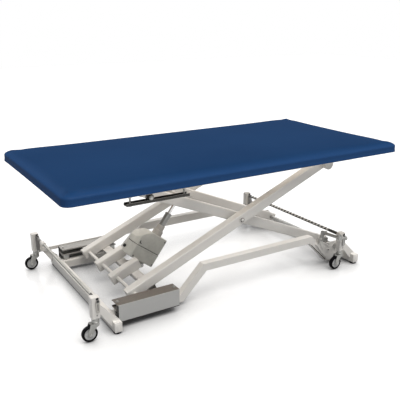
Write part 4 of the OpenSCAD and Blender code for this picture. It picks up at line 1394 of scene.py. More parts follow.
@dataclass
class LiftMotor:
    """The housing in two shells, the collar and the spindle tube."""

    half_width: float = 50.0
    up: float = 125.0
    down: float = 60.0
    corner: float = 10.0
    lower: float = 75.0
    total: float = 170.0
    tube: float = 19.0
    bore: float = 10.7
    tube_end: float = 309.0
    link: Linkage = field(default_factory=Linkage)

    def section(self, inset: float) -> list[Point]:
        """Draws the housing's outline across the spindle.

        Args:
            inset: How far inside the full outline.

        Returns:
            Points in (Z, Y) of the motor's frame.
        """
        a, b, y, c = inset - self.down, self.up - inset, self.half_width - inset, self.corner
        return [(a, c - y), (a, y - c), (a + c, y), (b - 2 * c, y), (b, y - 2 * c),
                (b, 2 * c - y), (b - 2 * c, -y), (a + c, -y)]

    def shell(self, start: float, end: float, inset: float) -> BMesh:
        """Makes a block of the section.

        Args:
            start: Its start along the spindle.
            end: Its end along the spindle.
            inset: How far inside the full outline.

        Returns:
            Its closed mesh.
        """
        bm = prism([(-z, y) for z, y in self.section(inset)], start, end)
        # Local Z becomes the spindle's X, local X becomes -Z.
        bm.transform(Matrix(((0, 0, 1, 0), (0, 1, 0, 0), (-1, 0, 0, 0), (0, 0, 0, 1))))
        return bm

    @staticmethod
    def cut(bm: BMesh, point: Point, way: Point) -> None:
        """Cuts a mesh by a plane across the table and closes it.

        Args:
            bm: The mesh to cut.
            point: A point on the plane as (X, Z) in millimetres.
            way: The plane's normal as (X, Z); what lies that way goes.
        """
        geometry = [*bm.verts, *bm.edges, *bm.faces]
        cut = bmesh.ops.bisect_plane(
            bm, geom=geometry, plane_co=mm(point[0], 0, point[1]),
            plane_no=Vector((way[0], 0, way[1])), clear_outer=True)["geom_cut"]
        edges = [e for e in cut if isinstance(e, bmesh.types.BMEdge)]
        bmesh.ops.contextual_create(bm, geom=edges)

    def build(self, trees: Trees) -> None:
        """Makes the shells and their trim.

        Args:
            trees: The shared trees.
        """
        frame = self.link.motor()
        self.shells(frame)
        self.trim(frame, trees)
        self.collar(frame)

    def shells(self, frame: Matrix) -> None:
        """Makes the lower shell with its lugs, the seam, the band and the bevelled upper shell.

        Args:
            frame: The motor's frame.
        """
        seam = self.lower
        body = soften(self.shell(0, seam - 0.6, 0), 5.0, 4, 20)
        lugs = []
        for out in (8, -23):
            outline = arc(-17, 0, 14, 90, 180, 14) + [(2, -14), (2, 14)]
            lugs.append((soften(prism(outline, 0, 15), 1.0, 2), SIDE_VIEW @ at(0, 0, out)))
        crown = self.shell(seam + 1.4, self.total, 0)
        self.cut(crown, (self.total - 60, self.up), (38.0, 42.0))
        self.cut(crown, (self.total - 18, self.up - 37), (31.0, 18.0))
        for name, bm, finish, node in (
                ("lower_shell", joined([(body, HERE), *lugs]), Finish.CASE, ["motor_housing"]),
                ("seam", self.shell(seam - 3.0, seam + 2.6, 2.2), Finish.CASE_DARK, []),
                ("band", soften(self.shell(seam - 9.0, seam - 1.0, -0.9), 0.8, 2, 20),
                 Finish.CASE, []),
                ("upper_shell", soften(crown, 5.0, 4, 14), Finish.CASE, ["motor_cover"])):
            make(f"motor_{name}", bm, frame, "lift_motor", finish, node)

    def trim(self, frame: Matrix, trees: Trees) -> None:
        """Adds the latch, the blanked cable inlet and the case screws.

        Args:
            frame: The motor's frame.
            trees: The shared trees.
        """
        y = self.half_width
        latch = soften(joined([
            (prism([(-x, -h), (x, -h), (x, h), (-x, h)], 0, 2.4),
             SIDE_VIEW @ at(*place, y - 0.2) @ turned(angle, "Z"))
            for x, h, place, angle in ((8, 2.2, (91, 92), 70), (5, 2, (99, 97), 5))]), 0.6, 2)
        make("case_latch", latch, frame, "lift_motor", Finish.CASE_DARK)
        inlet = lathe([(0, 0), (7.5, 0), (9, 1), (9, 10), (7.6, 11.4), (6.6, 11.4), (6.6, 8),
                       (0, 8)], 36)
        make("cable_inlet", inlet, frame @ at(34, 18, self.up - 0.5), "lift_motor",
             Finish.CASE_DARK)
        spots = [(frame @ mm(x, s * (y - 0.6), z), frame.to_3x3() @ Vector((0, s, 0)))
                 for x, z in ((12, -46), (12, 92), (self.total - 14, -46)) for s in SIDES]
        trees.bolts("case_screws", spots, "lift_motor", 3.6, 1.6, 4.6, dark=True, sides=16)

    def collar(self, frame: Matrix) -> None:
        """Makes the stepped collar and the spindle tube with its wiper ring.

        Args:
            frame: The motor's frame.
        """
        along = frame @ turned(90, "Y")
        t, x, bore, end = self.tube, self.total, self.bore, self.tube_end
        collar = [(t - 2, x + 0.4), (29, x + 0.4), (29, x + 26), (27.6, x + 29), (24, x + 30),
                  (22, x + 36), (22, x + 57), (20.6, x + 60), (t - 2, x + 60)]
        make("spindle_collar", lathe(collar, 56), along, "lift_motor", Finish.COLLAR)
        barrel = [(bore, x - 30), (t, x - 30), (t, end - 9), (t + 1.2, end - 8),
                  (t + 1.2, end - 1.5), (t - 0.3, end), (12.4, end), (11.2, end - 2.5),
                  (bore, end - 4)]
        make("spindle_tube", lathe(barrel, 56), along, "lift_motor", Finish.TUBE,
             ["actuator_tube"])
        ribs = rib_tree(Finish.COLLAR).bake(carrier([Vector()]), {
            "Count": 3, "Spacing": 9.0 * MM, "Ring Radius": 22.0 * MM, "Rib Radius": 0.7 * MM})
        ribs.transform(along @ at(0, 0, x + 38.0))
        settle("collar_ribs", ribs, "lift_motor", Finish.COLLAR)


@dataclass
class BaseFrame:
    """Feet, end caps, bolts and welds of the base."""

    left: float = -776.0
    right: float = 763.0
    beam_end: float = 475.0
    beam_top: float = 60.0
    beam_middle: float = 35.0
    foot_inset: float = 20.0
    cap_y: float = 471.0
    dish_y: float = 474.8
    block_top: float = 217.0
    rail_y: float = 360.0
    rail_z: float = 38.0
    post_y: float = 369.0
    post_top: float = 87.0
    channel_y: float = 394.0
    channel_seat: float = 123.3
    channel_x: Point = (-757.0, -424.0)
    # Places of the dark strips of painted shadow: in the gap at each guard's end, and under each
    # guard's lower edge.
    gap_shadow_x: float = -755.6
    gap_shadow_out: Point = (424.0, -433.0)
    fold_shadow_out: Point = (431.6, -433.0)
    # Place of the bright strip of painted reflection inside each channel.
    reflection_out: Point = (425.6, -427.2)
    bracket_face: float = 380.4
    bracket_top: float = 64.2
    boss: tuple[float, float, float] = (621.0, -385.6, 90.0)

    def build(self, trees: Trees) -> None:
        """Makes the feet and adds the fasteners and welds.

        Args:
            trees: The shared trees.
        """
        self.feet()
        self.caps()
        self.domes()
        self.channel_bolts(trees)
        self.channel_trim()
        self.housings(trees)
        self.pedal_mount()
        self.welds(trees)

    def feet(self) -> None:
        """Makes the four grooved rubber feet."""
        pad = [(0, 0), (15.5, 0), (17, 0.8), (17.6, 2.2), (16.6, 2.8), (16.6, 3.6), (18.2, 4.2),
               (19, 5.2), (19, 8.6), (18, 9.6), (0, 9.6)]
        parts = [(lathe(pad, 48), at(x, s * (self.beam_end - self.foot_inset), 0))
                 for x in (self.left, self.right) for s in SIDES]
        make("rubber_feet", joined(parts), HERE, "base", Finish.PAD, ["foot_pads"])

    def caps(self) -> None:
        """Makes the flat plastic caps of the beams and of the left castor housings."""
        parts = []
        for x in (self.left, self.right):
            for s in SIDES:
                turn = turned(-90 * s, "X")
                plate = soften(prism(round_rect(38, 50, 3.4), 0, 4.0), 1.2, 3)
                dish = soften(prism(round_rect(24, 36, 4), 0, 0.7), 0.3, 2)
                parts += [(plate, at(x, s * self.cap_y, self.beam_middle) @ turn),
                          (dish, at(x, s * self.dish_y, self.beam_middle) @ turn)]
        for s in SIDES:
            plate = soften(prism(round_rect(40, 36, 5), 0, 3.0), 1.1, 3)
            parts.append((plate, at(CASTOR_X[0], s * CASTOR_Y, self.block_top)))
        make("plastic_caps", joined(parts), HERE, "base", Finish.CAP,
             ["base_end_caps"])

    def domes(self) -> None:
        """Makes the domed caps of the right castor housings, from stacked rounded rectangles."""
        layers = [(0.0, 40, 36, 6), (3.0, 40, 36, 6), (5.0, 37, 33, 8), (6.8, 31, 27, 9),
                  (7.8, 22, 18, 8.5), (8.2, 12, 9, 4.4)]
        rings = [[mm(x, y, z) for x, y in round_rect(w, h, r)] for z, w, h, r in layers]
        domes = [(skinned(rings), at(CASTOR_X[1], s * CASTOR_Y, self.block_top)) for s in SIDES]
        make("housing_domes", joined(domes), HERE, "base", Finish.DOME,
             ["base_end_caps"])

    def channel_trim(self) -> None:
        """Adds dark strips of painted shadow at the guards' ends and under their lower edges, and
        bright strips of painted reflection along the tracks under the rollers.
        """
        left, right = self.channel_x

        def strip(low: Point, high: Point, thick: float, round_off: float, out: float) -> Placed:
            """Makes a flat strip that lies along the side view.

            Args:
                low: Its lower left corner.
                high: Its upper right corner.
                thick: Its thickness.
                round_off: Width of its rounded edges.
                out: Where its face towards the near side lies, less its thickness.

            Returns:
                The strip and its place.
            """
            (xa, za), (xb, zb) = low, high
            plate = prism([(xa, za), (xb, za), (xb, zb), (xa, zb)], 0, thick)
            return soften(plate, round_off, 2), SIDE_VIEW @ at(0, 0, out)

        dark, bright = [], []
        for edge, fold_shadow, track in zip(self.gap_shadow_out, self.fold_shadow_out, self.reflection_out):
            # A dark strip in the gap at the guard's end and one under its lower edge: painted shadow.
            gap_shadow = soften(prism([(-2.4, 50), (1.6, 50), (1.6, 121), (-2.4, 121)], 0, 9.0), 0.5, 2)
            dark.append((gap_shadow, SIDE_VIEW @ at(self.gap_shadow_x, 0, edge)))
            dark.append(strip((left + 2, 33.4), (right - 2, 36.4), 1.4, 0.4, fold_shadow))
            # A bright strip along the channel's track: painted reflection.
            bright.append(strip((left + 5, 102), (right - 5, 106.5), 1.6, 0.4, track))
        make("guard_edging", joined(dark), HERE, "base", Finish.CASE_DARK)
        make("channel_track", joined(bright), HERE, "base", Finish.ZINC)

    def housings(self, trees: Trees) -> None:
        """Adds dark plates of painted shade in the castor housings' shaft slots, and the housings'
        small grub screws.

        Args:
            trees: The shared trees.
        """
        slots, screws = [], []
        for x in CASTOR_X:
            for y, tall, z in ((-480.5, 15, 210), (444.0, 26, 204)):
                # A thin dark plate on the face where the slot opens: painted shade.
                slot = soften(prism(round_rect(13, tall, 3), 0, 1.0), 0.3, 2)
                slots.append((slot, at(x + 8, y, z) @ turned(90, "X")))
            screws += [(mm(x + 3, y, z), Vector((0, -1, 0))) for y, z in ((-480, 130), (444, 146))]
        make("housing_slots", joined(slots), HERE, "base", Finish.CASE_DARK)
        trees.bolts("housing_screws", screws, "base", 2.2, 0.6, 2.8, dark=True, sides=16)

    def pedal_mount(self) -> None:
        """Adds the stop bar, the ring boss, and dark strips of painted shadow above the stop bar and
        along the bracket plate's lower edge.
        """
        def bar(a: Point, b: Point, width: float, thick: float, out: float) -> Placed:
            """Makes a flat bar on the near side.

            Args:
                a: Where it starts.
                b: Where it ends.
                width: Its width.
                thick: Its thickness.
                out: How far its face stands out.

            Returns:
                The bar and its place.
            """
            start, end = Vector(a), Vector(b)
            run = end - start
            side = Vector((-run.y, run.x)).normalized() * width / 2
            corners = [tuple(c) for c in (start + side, start - side, end - side, end + side)]
            return soften(prism(corners, 0, thick), 0.6, 2), SIDE_VIEW @ at(0, 0, out - thick)

        make("pedal_stop_bar", joined([bar((553, 158), (622, 119), 9.0, 5.0, 391.4)]), HERE,
             "base", Finish.CREAM)
        # Dark bars where shadow falls above the stop bar and under the bracket plate's lower edge:
        # painted shadow.
        dark = [bar((551, 165), (621, 125.5), 3.4, 4.0, 390.4),
                bar((488, 144.5), (602, 33), 4.0, 1.6, 381.8)]
        make("pedal_edge_strips", joined(dark), HERE, "base", Finish.CASE_DARK)
        place = at(*self.boss) @ turned(90, "X")
        boss = [(5.0, 0), (11.0, 0), (11.4, 0.6), (11.0, 2.4), (9.6, 3.0), (6.0, 3.0), (5.0, 2.2)]
        make("bracket_boss", lathe(boss, 36), place, "base", Finish.CAP)
        core = [(0, 0), (5.2, 0), (5.2, 1.0), (0, 1.4)]
        make("bracket_boss_core", lathe(core, 24), place, "base", Finish.CASE_DARK)

    def channel_bolts(self, trees: Trees) -> None:
        """Makes the channel posts and their bolt heads.

        Args:
            trees: The shared trees.
        """
        left, right = self.channel_x
        parts = [(soften(prism(round_rect(30, 22, 3), self.rail_z + 20, self.post_top), 0.5, 2),
                  at(x, s * self.post_y, 0)) for s in SIDES for x in (left + 23, right - 23)]
        make("channel_posts", joined(parts), HERE, "base", Finish.ZINC,
             ["channel_fixings"])
        spots = [(mm(x, s * self.channel_y, self.channel_seat), Vector((0, 0, 1)))
                 for s in SIDES for x in (left + 14, right - 14)]
        trees.bolts("channel_bolt_heads", spots, "base", 6.6, 4.2, 8.6)

    def welds(self, trees: Trees) -> None:
        """Adds the welds between beams, rails, brackets and castor housings.

        Args:
            trees: The shared trees.
        """
        runs: list[list[Vector]] = []

        def bead(*points: tuple[float, float, float]) -> None:
            """Adds one straight run of weld."""
            runs.append([mm(*p) for p in points])

        left, right = self.channel_x
        for s in SIDES:
            for x in (self.left + 19.4, self.right - 19.4):
                runs.append(rectangle(mm(x, s * self.rail_y, self.rail_z), mm(0, 20, 0),
                                      mm(0, 0, 20)))
            for x in (left + 8, left + 38, right - 38, right - 8):
                bead((x, s * 358, 58.3), (x, s * 380, 58.3))
            y, z = s * self.bracket_face, self.bracket_top
            bead((622, y, 24.6), (700, y, 24.6))
            bead((640, s * 340, z), (640, s * 286, z))
            bead((645, s * 286.2, z), (700, s * 286.2, z))
            faces, z = (438.7, 447.3) if s == NEAR else (444.7, 453.3), self.beam_top + 0.3
            for beam, block in zip((self.left, self.right), CASTOR_X):
                for w in faces:
                    bead((beam - 17, s * w, z), (beam + 12, s * w, z))
                x = block + 20.2
                bead((x, s * faces[1], 137), (x, s * faces[1], 177))
        trees.welds("base_welds", runs, "base", 3.8)


@dataclass(frozen=True)
class CamShaft:
    """One cam shaft: its name, its place along the table and the finish of its hand lever."""

    name: str
    x: float
    lever: Finish


@dataclass
class CamGear:
    """The two cam shafts, their sleeves, their levers and the link bar's clips."""

    # The left lever's mid-grey, darker than the cream housing, is partly painted shade from the
    # housing's near face.
    left: CamShaft = CamShaft("left", -875.0, Finish.DOME)
    right: CamShaft = CamShaft("right", 644.0, Finish.PEDAL)
    height: float = 202.0
    shaft_end: float = 480.4
    lever_face: float = 480.8
    lever_thickness: float = 4.6
    lever_cap: float = 485.9
    crank_pin: Point = (428.0, 118.0)
    sleeve_start: float = -400.0
    sleeve_length: float = 700.0
    sleeve_radius: float = 8.5
    groove_angles: tuple[float, ...] = (160.0, 196.0, 232.0, 268.0, 304.0, 340.0)
    groove_depth: float = 1.9
    spiral_start: float = -420.0
    spiral_length: float = 835.0
    spiral_plain: float = 56.0
    spiral_pitch: float = 29.0
    spiral_core: float = 7.8
    spiral_shoulder: float = 9.0

    def along_y(self, x: float, y: float, degrees: float = -90) -> Matrix:
        """Returns the frame of a shaft, with local Z towards +Y, or -Y at 90 degrees."""
        return at(x, y, self.height) @ turned(degrees, "X")

    def build(self, trees: Trees) -> None:
        """Makes both sleeves, the end levers, the caps and the crank pins' clips.

        Args:
            trees: The shared trees.
        """
        self.foot_sleeve()
        self.spiral_sleeve()
        for shaft in (self.left, self.right):
            self.lever(shaft)
            self.caps(shaft)
            clip = (mm(shaft.x, *self.crank_pin), Vector((0, -1, 0)))
            trees.bolts(f"{shaft.name}_crank_clip", [clip], f"{shaft.name}_cam", 4.2, 2.4, 6.4,
                        sides=24)

    def foot_sleeve(self) -> None:
        """Makes the fluted foot sleeve on the left shaft, with dark strips of painted shade in its
        grooves, and the pale cap at its far end.
        """
        x, start, length, r = self.left.x, self.sleeve_start, self.sleeve_length, self.sleeve_radius

        def ring(points: Outline) -> list[Point]:
            """Returns points given as (angle in degrees, radius) as X and Y."""
            return [(d * math.cos(math.radians(-a)), d * math.sin(math.radians(-a)))
                    for a, d in points]

        outline: list[Point] = [(step, r) for step in range(0, 360, 4)]
        strips, floor = [], r - self.groove_depth
        for a in self.groove_angles:
            outline = [(b, d) for b, d in outline if abs(b - a) > 11]
            outline += [(a - 11, r), (a - 9, floor), (a + 9, floor), (a + 11, r)]
            # A dark strip inside each groove: painted shade.
            strip = ring([(a + 8.6, r - 2.2), (a - 8.6, r - 2.2), (a - 8.6, r - 1.0),
                          (a + 8.6, r - 1.0)])
            strips.append((prism(strip, 0.6, length - 0.6), HERE))
        place = self.along_y(x, start)
        sleeve = soften(prism(ring(sorted(outline))[::-1], 0, length), 0.3, 2, 60)
        make("foot_sleeve", sleeve, place, "left_cam", Finish.SLEEVE,
             ["left_foot_sleeve"])
        make("foot_sleeve_grooves", joined(strips), place, "left_cam", Finish.CASE_DARK)
        cap = [(0, 0), (10.6, 0), (11.6, 1.2), (12.0, 6), (12.0, 40), (10.4, 48), (8.0, 51),
               (0, 51)]
        make("sleeve_cap", lathe(cap, 40), self.along_y(x, start + length + 0.4), "left_cam",
             Finish.CAP)

    def spiral_sleeve(self) -> None:
        """Makes the dark sleeve on the right shaft, with a pale rib wound round most of it."""
        length, r, plain, thick = (self.spiral_length, self.spiral_core, self.spiral_plain,
                                   self.spiral_shoulder)
        profile = [(6.2, 0), (thick - 0.6, 0), (thick, 0.8), (thick, plain - 1.5),
                   (thick - 0.8, plain), (r, plain), (r, length - 0.8), (r - 0.3, length),
                   (6.2, length)]
        place = self.along_y(self.right.x, self.spiral_start)
        make("spiral_core", lathe(profile, 32), place, "right_cam", Finish.SPIRAL_DARK,
             ["right_spiral_sleeve"])
        wound = length - plain - 12
        rib = spiral_tree(Finish.SPIRAL_LIGHT).bake(carrier([Vector()]), {
            "Turns": wound / self.spiral_pitch, "Length": wound * MM,
            "Spiral Radius": 7.9 * MM, "Rib Width": 14.0 * MM, "Rib Depth": 1.8 * MM})
        rib.transform(place @ at(0, 0, plain + 6))
        settle("spiral_rib", rib, "right_cam", Finish.SPIRAL_LIGHT, smooth=60.0)

    def lever(self, shaft: CamShaft) -> None:
        """Makes the hand lever on a shaft's near end, with its dark slot.

        Args:
            shaft: The shaft.
        """
        body, place = f"{shaft.name}_cam", at(shaft.x, 0, self.height)
        outline = arc(0, -3, 10.5, 0, 180) + arc(0, -50, 8.5, 180, 180)
        slot = arc(0, -16, 3.0, 0, 180, 8) + arc(0, -44, 2.4, 180, 180, 8)
        turn = SIDE_VIEW @ at(0, 0, self.lever_face)
        plate = (soften(prism(outline, 0, self.lever_thickness), 1.2, 3), turn)
        inset = (soften(prism(slot, 0, 0.5), 0.15, 1), turn @ at(0, 0, 4.4))
        make(f"{shaft.name}_end_lever", joined([plate]), place, body, shaft.lever)
        make(f"{shaft.name}_lever_slot", joined([inset]), place, body, Finish.STEEL_DARK)

    def caps(self, shaft: CamShaft) -> None:
        """Adds a domed cap over a shaft's far end and a small one in its lever.

        Args:
            shaft: The shaft.
        """
        cap = [(0, -0.2), (8.4, -0.2), (8.8, 0.8), (8.8, 4.6), (7.6, 6.0), (4.0, 6.8), (0, 7.0)]
        small = [(0, 0), (4.6, 0), (5.0, 0.6), (4.4, 1.8), (0, 2.4)]
        parts = [(lathe(cap, 32), self.along_y(shaft.x, self.shaft_end)),
                 (lathe(small, 24), self.along_y(shaft.x, -self.lever_cap, 90))]
        make(f"{shaft.name}_shaft_caps", joined(parts), HERE, f"{shaft.name}_cam",
             Finish.CASE_DARK)


@dataclass
class Castor:
    """One swivel castor: fork, tyre, hub, axle bolt and dust seal."""

    name: str
    x: float
    side: int
    wheel: float = 38.0
    width: float = 24.0
    trail: float = 31.0
    axle_z: float = 40.0
    bridge_half: float = 16.8
    leg_top: float = 89.4
    waist: float = 62.0
    leg_thickness: float = 2.8
    leg_faces: Point = (14.1, -16.9)
    spokes: int = 6

    def frame(self) -> Matrix:
        """Returns the castor's frame on the floor under its stem, mirrored on the near side."""
        flip = Matrix.Scale(-1, 4, Vector((0, 1, 0))) if self.side == NEAR else HERE
        return at(self.x, self.side * CASTOR_Y, 0) @ flip

    def build(self, trees: Trees) -> None:
        """Makes the castor.

        Args:
            trees: The shared trees.
        """
        self.fork()
        self.tyre_and_hub()
        spots = [(self.frame() @ mm(-self.trail, s * 17.0, self.axle_z),
                  Vector((0, s * self.side, 0))) for s in SIDES]
        trees.bolts(f"{self.name}_axle_ends", spots, f"{self.name}_fork", 5.6, 3.0, 7.2)

    def fork(self) -> None:
        """Makes the pressed fork: ball race head, bridge and two legs with a waist."""
        head = lathe([(0, 89.4), (15.5, 89.4), (18, 91.2), (18, 96.4), (16.6, 98.0), (17.6, 99.4),
                      (18, 101.6), (17.2, 105.6), (14.6, 107.6), (0, 107.6)], 48)
        half, top, waist = self.bridge_half, self.leg_top, self.waist
        bridge = soften(prism([(-28, -half), (9, -half), (14, 5 - half), (14, half - 5), (9, half),
                               (-28, half)], 86.2, 89.6), 0.8, 2)
        leg = [(14, top), (-28, top), (-40, waist - 4),
               *arc(-self.trail, self.axle_z, 12, 160, 200, 16),
               (-13, waist - 8), (-5, waist + 6), (12, top - 12)]
        parts = [(head, HERE), (bridge, HERE)]
        parts += [(soften(prism(leg, 0, self.leg_thickness), 0.7, 2), SIDE_VIEW @ at(0, 0, out))
                  for out in self.leg_faces]
        body = f"{self.name}_fork"
        make(f"{self.name}_fork_press", joined(parts), self.frame(), body, Finish.FORK,
             [f"{self.name}_fork"])
        seal = [(10.4, 107.4), (13.6, 107.4), (14.0, 108.4), (14.0, 111.8), (13.0, 113.0),
                (10.4, 113.0)]
        make(f"{self.name}_dust_seal", lathe(seal, 36), self.frame(), body, Finish.CASE_DARK)

    def tyre_and_hub(self) -> None:
        """Makes the tyre with its rounded tread and the dished hub with its spokes."""
        h, r, body = self.width / 2, self.wheel, f"{self.name}_wheel"
        rim = r * 0.72
        axle = self.frame() @ at(-self.trail, 0, self.axle_z) @ turned(90, "X")
        shoulder = [(rim + 0.1, h - 4), (rim + 2.2, h - 0.9), (r - 4.6, h - 0.2),
                    (r - 1.9, h - 1.6), (r - 0.7, h - 4), (r - 0.2, h - 7.5)]
        tread = [*shoulder, (r, 0), *mirrored(shoulder)]
        make(f"{self.name}_tyre_tread", lathe(tread, 72), axle, body, Finish.TYRE,
             [f"{self.name}_tyre"])
        face = [(4.1, 13.2), (8.4, 13.2), (9.0, 12.4), (9.6, 10.4), (12.6, 8.6), (20.0, 7.8),
                (23.4, 9.2), (26.4, 9.8), (rim, 9.0)]
        parts = [(lathe(face + mirrored(face), 60), HERE)]
        outline = [(10.5, -1.6), (23.4, -1.2), (23.4, 1.2), (10.5, 1.6)]
        for k in range(self.spokes):
            for low in (-9.0, 4.8):
                parts.append((soften(prism(outline, 0, 4.2), 0.5, 2),
                              turned(360 // self.spokes * k, "Z") @ at(0, 0, low)))
        make(f"{self.name}_hub_web", joined(parts), axle, body, Finish.HUB,
             [f"{self.name}_hub"])


@dataclass
class Rollers:
    """The two pairs of rollers, and the caps on the guide rollers' axle."""

    half_width: float = 11.0
    cap_y: float = 403.3
    link: Linkage = field(default_factory=Linkage)

    def build(self) -> None:
        """Makes both pairs and the axle's caps."""
        low = self.link.outer() @ mm(-self.link.low, 0, 0)
        high = self.link.inner() @ mm(-self.link.high, 0, 0)
        self.pair("track", low, 14.7, 10.06, 390.0)
        self.pair("guide", high, 17.5, 9.06, 383.0)
        cap = [(0, 0), (8.4, 0), (9.0, 0.8), (9.0, 3.4), (7.8, 5.2), (5.0, 6.2), (0, 6.6)]
        parts = [(lathe(cap, 36), Matrix.Translation(high + mm(0, s * self.cap_y, 0))
                  @ turned(-90 * s, "X")) for s in SIDES]
        make("guide_axle_caps", joined(parts), HERE, "inner_frame", Finish.ZINC)

    def pair(self, name: str, centre: Vector, radius: float, bore: float, y: float) -> None:
        """Makes one pair of rollers.

        Args:
            name: The pair's name.
            centre: The shaft's place.
            radius: Radius over the tread, in millimetres.
            bore: Radius of the bore.
            y: Distance of the rollers from the middle.
        """
        h = self.half_width
        face = [(bore, h), (bore + 1.2, h), (bore + 1.6, h - 1.0), (radius - 2.6, h - 1.0),
                (radius - 2.2, h), (radius - 0.9, h), (radius, h - 1.2)]
        parts = [(lathe(face + mirrored(face), 56),
                  Matrix.Translation(centre + mm(0, s * y, 0)) @ turned(90, "X")) for s in SIDES]
        make(f"{name}_roller_treads", joined(parts), HERE, f"{name}_rollers", Finish.ROLLER,
             [f"{name}_rollers"])


@dataclass(frozen=True)
class Lamp:
    """One far soft light, even over the whole floor.

    The way from the table to it, how wide it looks from there in degrees, its strength and
    colour, and whether the padded top keeps it off the frame.
    """

    name: str
    toward: tuple[float, float, float]
    spread: float
    level: float
    colour: Colour
    shaded: bool = False


@dataclass
class Studio:
    """Pale floor, soft light and the camera at the photograph's place."""

    eye: tuple[float, float, float] = (-1.69458, -2.69258, 1.41844)
    yaw: float = -31.573
    tilt: float = 72.245
    lens: float = 51.76
    sensor: float = 36.0
    view_depth: float = 60.0
    floor_half: float = 14.0
    floor_shade_reach: float = 0.26
    floor_glow: float = 0.62
    ambient: Point = (0.12, 0.50)
    top_pieces: tuple[str, ...] = ("floor", "mattress_pad", "mattress", "mattress_board",
                                   "dust_cloth", "cloth_staples")
    lamps: tuple[Lamp, ...] = (
        Lamp("top_light", (0.2, 0.2, 1.0), 70.0, 0.3, (1.0, 0.97, 0.94)),
        Lamp("far_light", (0.1, 1.0, 1.0), 45.0, 0.6, (1.0, 0.955, 0.91), shaded=True),
        Lamp("near_light", (0.2, -1.0, 3.0), 45.0, 2.6, (1.0, 0.96, 0.915)),
    )

    def camera(self) -> None:
        """Places the camera."""
        data = bpy.data.cameras.new("camera")
        data.lens, data.sensor_width, data.clip_end = self.lens, self.sensor, self.view_depth
        camera = bpy.data.objects.new("camera", data)
        camera.location = self.eye
        camera.rotation_euler = (math.radians(self.tilt), 0.0, math.radians(self.yaw))
        bpy.context.scene.collection.objects.link(camera)
        bpy.context.scene.camera = camera

    def floor(self) -> None:
        """Makes the floor, white where nothing shades it, with a faint mirror image."""
        sheet = ShaderSheet("studio_floor", {"Roughness": 0.16, "Specular IOR Level": 0.30})
        near = sheet.add("ShaderNodeAmbientOcclusion", {"Distance": self.floor_shade_reach},
                         samples=12).outputs["AO"]
        bare = sheet.remap(near, 0.2, 0.95, 0.0, 1.0)
        sheet.into("Base Color", sheet.blend(bare, (0.20, 0.20, 0.205), (0.42, 0.425, 0.43)))
        ray = sheet.tree.nodes.new("ShaderNodeLightPath").outputs
        seen = sheet.math("MAXIMUM", ray["Is Camera Ray"], ray["Is Glossy Ray"])
        seen = sheet.math("MAXIMUM", seen, ray["Is Transmission Ray"])
        strength = sheet.math("MULTIPLY", seen, sheet.math("MULTIPLY", bare, self.floor_glow))
        glow = sheet.add("ShaderNodeEmission", {
            "Color": (1.0, 1.0, 1.0, 1.0), "Strength": strength})
        both = sheet.add("ShaderNodeAddShader", {0: sheet.surface.outputs[0], 1: glow.outputs[0]})
        sheet.tree.links.new(both.outputs[0], sheet.tree.nodes["Material Output"].inputs["Surface"])
        half = self.floor_half
        mesh = bpy.data.meshes.new("floor")
        mesh.from_pydata([(-half, -half, 0), (half, -half, 0), (half, half, 0), (-half, half, 0)],
                         [], [(0, 1, 2, 3)])
        mesh.materials.append(sheet.material)
        floor = bpy.data.objects.new("floor", mesh)
        bpy.context.scene.collection.objects.link(floor)

    def world(self) -> None:
        """Lights the room softly, a little darker to the left, and shows it white."""
        world = bpy.data.worlds.new("studio")
        world.use_nodes = True
        bpy.context.scene.world = world
        tree = world.node_tree
        dark, bright = self.ambient
        way = tree.nodes.new("ShaderNodeTexCoord").outputs["Generated"]
        across = add_node(tree, "ShaderNodeSeparateXYZ", {0: way}).outputs["X"]
        level = add_node(tree, "ShaderNodeMapRange", {
            "Value": across, "From Min": -1.0, "From Max": 1.0, "To Min": dark, "To Max": bright})
        light = tree.nodes["Background"]
        light.inputs["Color"].default_value = (0.96, 0.98, 1.0, 1.0)
        tree.links.new(level.outputs["Result"], light.inputs["Strength"])
        white = add_node(tree, "ShaderNodeBackground", {
            "Color": (1.0, 1.0, 1.0, 1.0), "Strength": 1.0})
        ray = tree.nodes.new("ShaderNodeLightPath").outputs
        seen = add_node(tree, "ShaderNodeMath", {
            0: ray["Is Camera Ray"], 1: ray["Is Glossy Ray"]}, operation="MAXIMUM")
        mix = add_node(tree, "ShaderNodeMixShader", {
            0: seen.outputs[0], 1: light.outputs[0], 2: white.outputs[0]})
        tree.links.new(mix.outputs[0], tree.nodes["World Output"].inputs["Surface"])

    def lamp(self, lamp: Lamp) -> None:
        """Sets up one lamp.

        Args:
            lamp: The lamp.
        """
        data = bpy.data.lights.new(lamp.name, "SUN")
        data.angle, data.energy, data.color = math.radians(lamp.spread), lamp.level, lamp.colour
        light = bpy.data.objects.new(lamp.name, data)
        light.rotation_euler = (-Vector(lamp.toward)).to_track_quat("-Z", "Y").to_euler()
        bpy.context.scene.collection.objects.link(light)
        if not lamp.shaded:
            light.light_linking.blocker_collection = self.frame_pieces()

    def frame_pieces(self) -> bpy.types.Collection:
        """Gathers every piece under the padded top: all that shadows a lamp that isn't shaded.

        Returns:
            The collection, made on first use.
        """
        pieces = bpy.data.collections.get("frame_pieces")
        if pieces is None:
            pieces = bpy.data.collections.new("frame_pieces")
            for piece in bpy.context.scene.objects:
                if piece.type == "MESH" and piece.name not in self.top_pieces:
                    pieces.objects.link(piece)
        return pieces

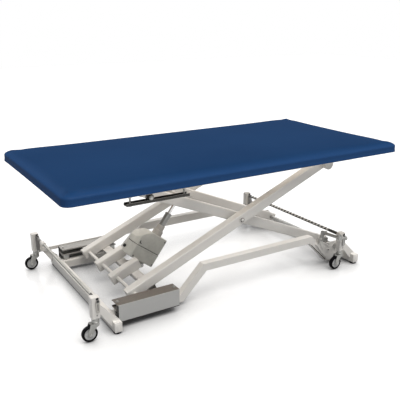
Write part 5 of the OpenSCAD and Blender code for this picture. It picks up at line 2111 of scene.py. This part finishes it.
    def build(self) -> None:
        """Sets up the camera, the floor and all light."""
        bpy.context.scene.view_settings.view_transform = "Standard"
        self.camera()
        self.floor()
        self.world()
        for lamp in self.lamps:
            self.lamp(lamp)


NODE_FINISH: dict[Finish, tuple[str, ...]] = {
    Finish.CREAM: (
        "left_foot_beam", "right_foot_beam", "near_side_rail", "far_side_rail", "pivot_brackets",
        "near_left_outrigger", "far_left_outrigger", "near_right_outrigger",
        "far_right_outrigger", "link_bar", "near_inner_arm", "far_inner_arm", "rod_bracket",
        "near_outer_arm", "far_outer_arm", "outer_cross_tube", "motor_forks",
        "track_roller_shaft", "frame_rails", "frame_cross_tubes", "top_pivot_brackets",
        "scissor_pins",
    ),
    Finish.CHANNEL: ("near_roller_channel",),
    Finish.CHANNEL_PALE: ("far_roller_channel",),
    Finish.TROUGH: ("roller_guides",),
    Finish.GUARD: ("channel_guards",),
    Finish.ZINC: ("base_pivot_shaft", "guide_roller_shaft", "motor_mount_pin", "castor_stems"),
    Finish.STEEL_DARK: ("left_cam_shaft", "right_cam_shaft"),
    Finish.PEDAL: ("release_pedal",),
    Finish.CHROME: ("actuator_rod",),
    Finish.CORE: ("motor_unit",),
    Finish.PLY: ("mattress_board",),
}


def dress_nodes(nodes: dict[str, bpy.types.Object]) -> None:
    """Gives each node that stays its finish.

    Args:
        nodes: The frame's nodes by name.
    """
    for finish, names in NODE_FINISH.items():
        for name in names:
            mesh = nodes[name].data
            mesh.materials.clear()
            mesh.materials.append(finish.material())
            LOG.info("%s: %s", name, finish.value.name)


def main() -> None:
    """Loads the frame, builds every assembly and lights it."""
    logging.basicConfig(level=logging.INFO, format="%(name)s: %(message)s")
    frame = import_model()
    trees = Trees()
    dress_nodes(frame["nodes"])
    PaddedTop().build()
    for assembly in (TopFrame(), ScissorArms(), LiftMotor(), BaseFrame(), CamGear()):
        assembly.build(trees)
    Rollers().build()
    for end, x in zip(("left", "right"), CASTOR_X):
        for side, name in ((NEAR, "near"), (FAR, "far")):
            Castor(f"{name}_{end}", x, side).build(trees)
    Studio().build()


if __name__ == "__main__":
    main()
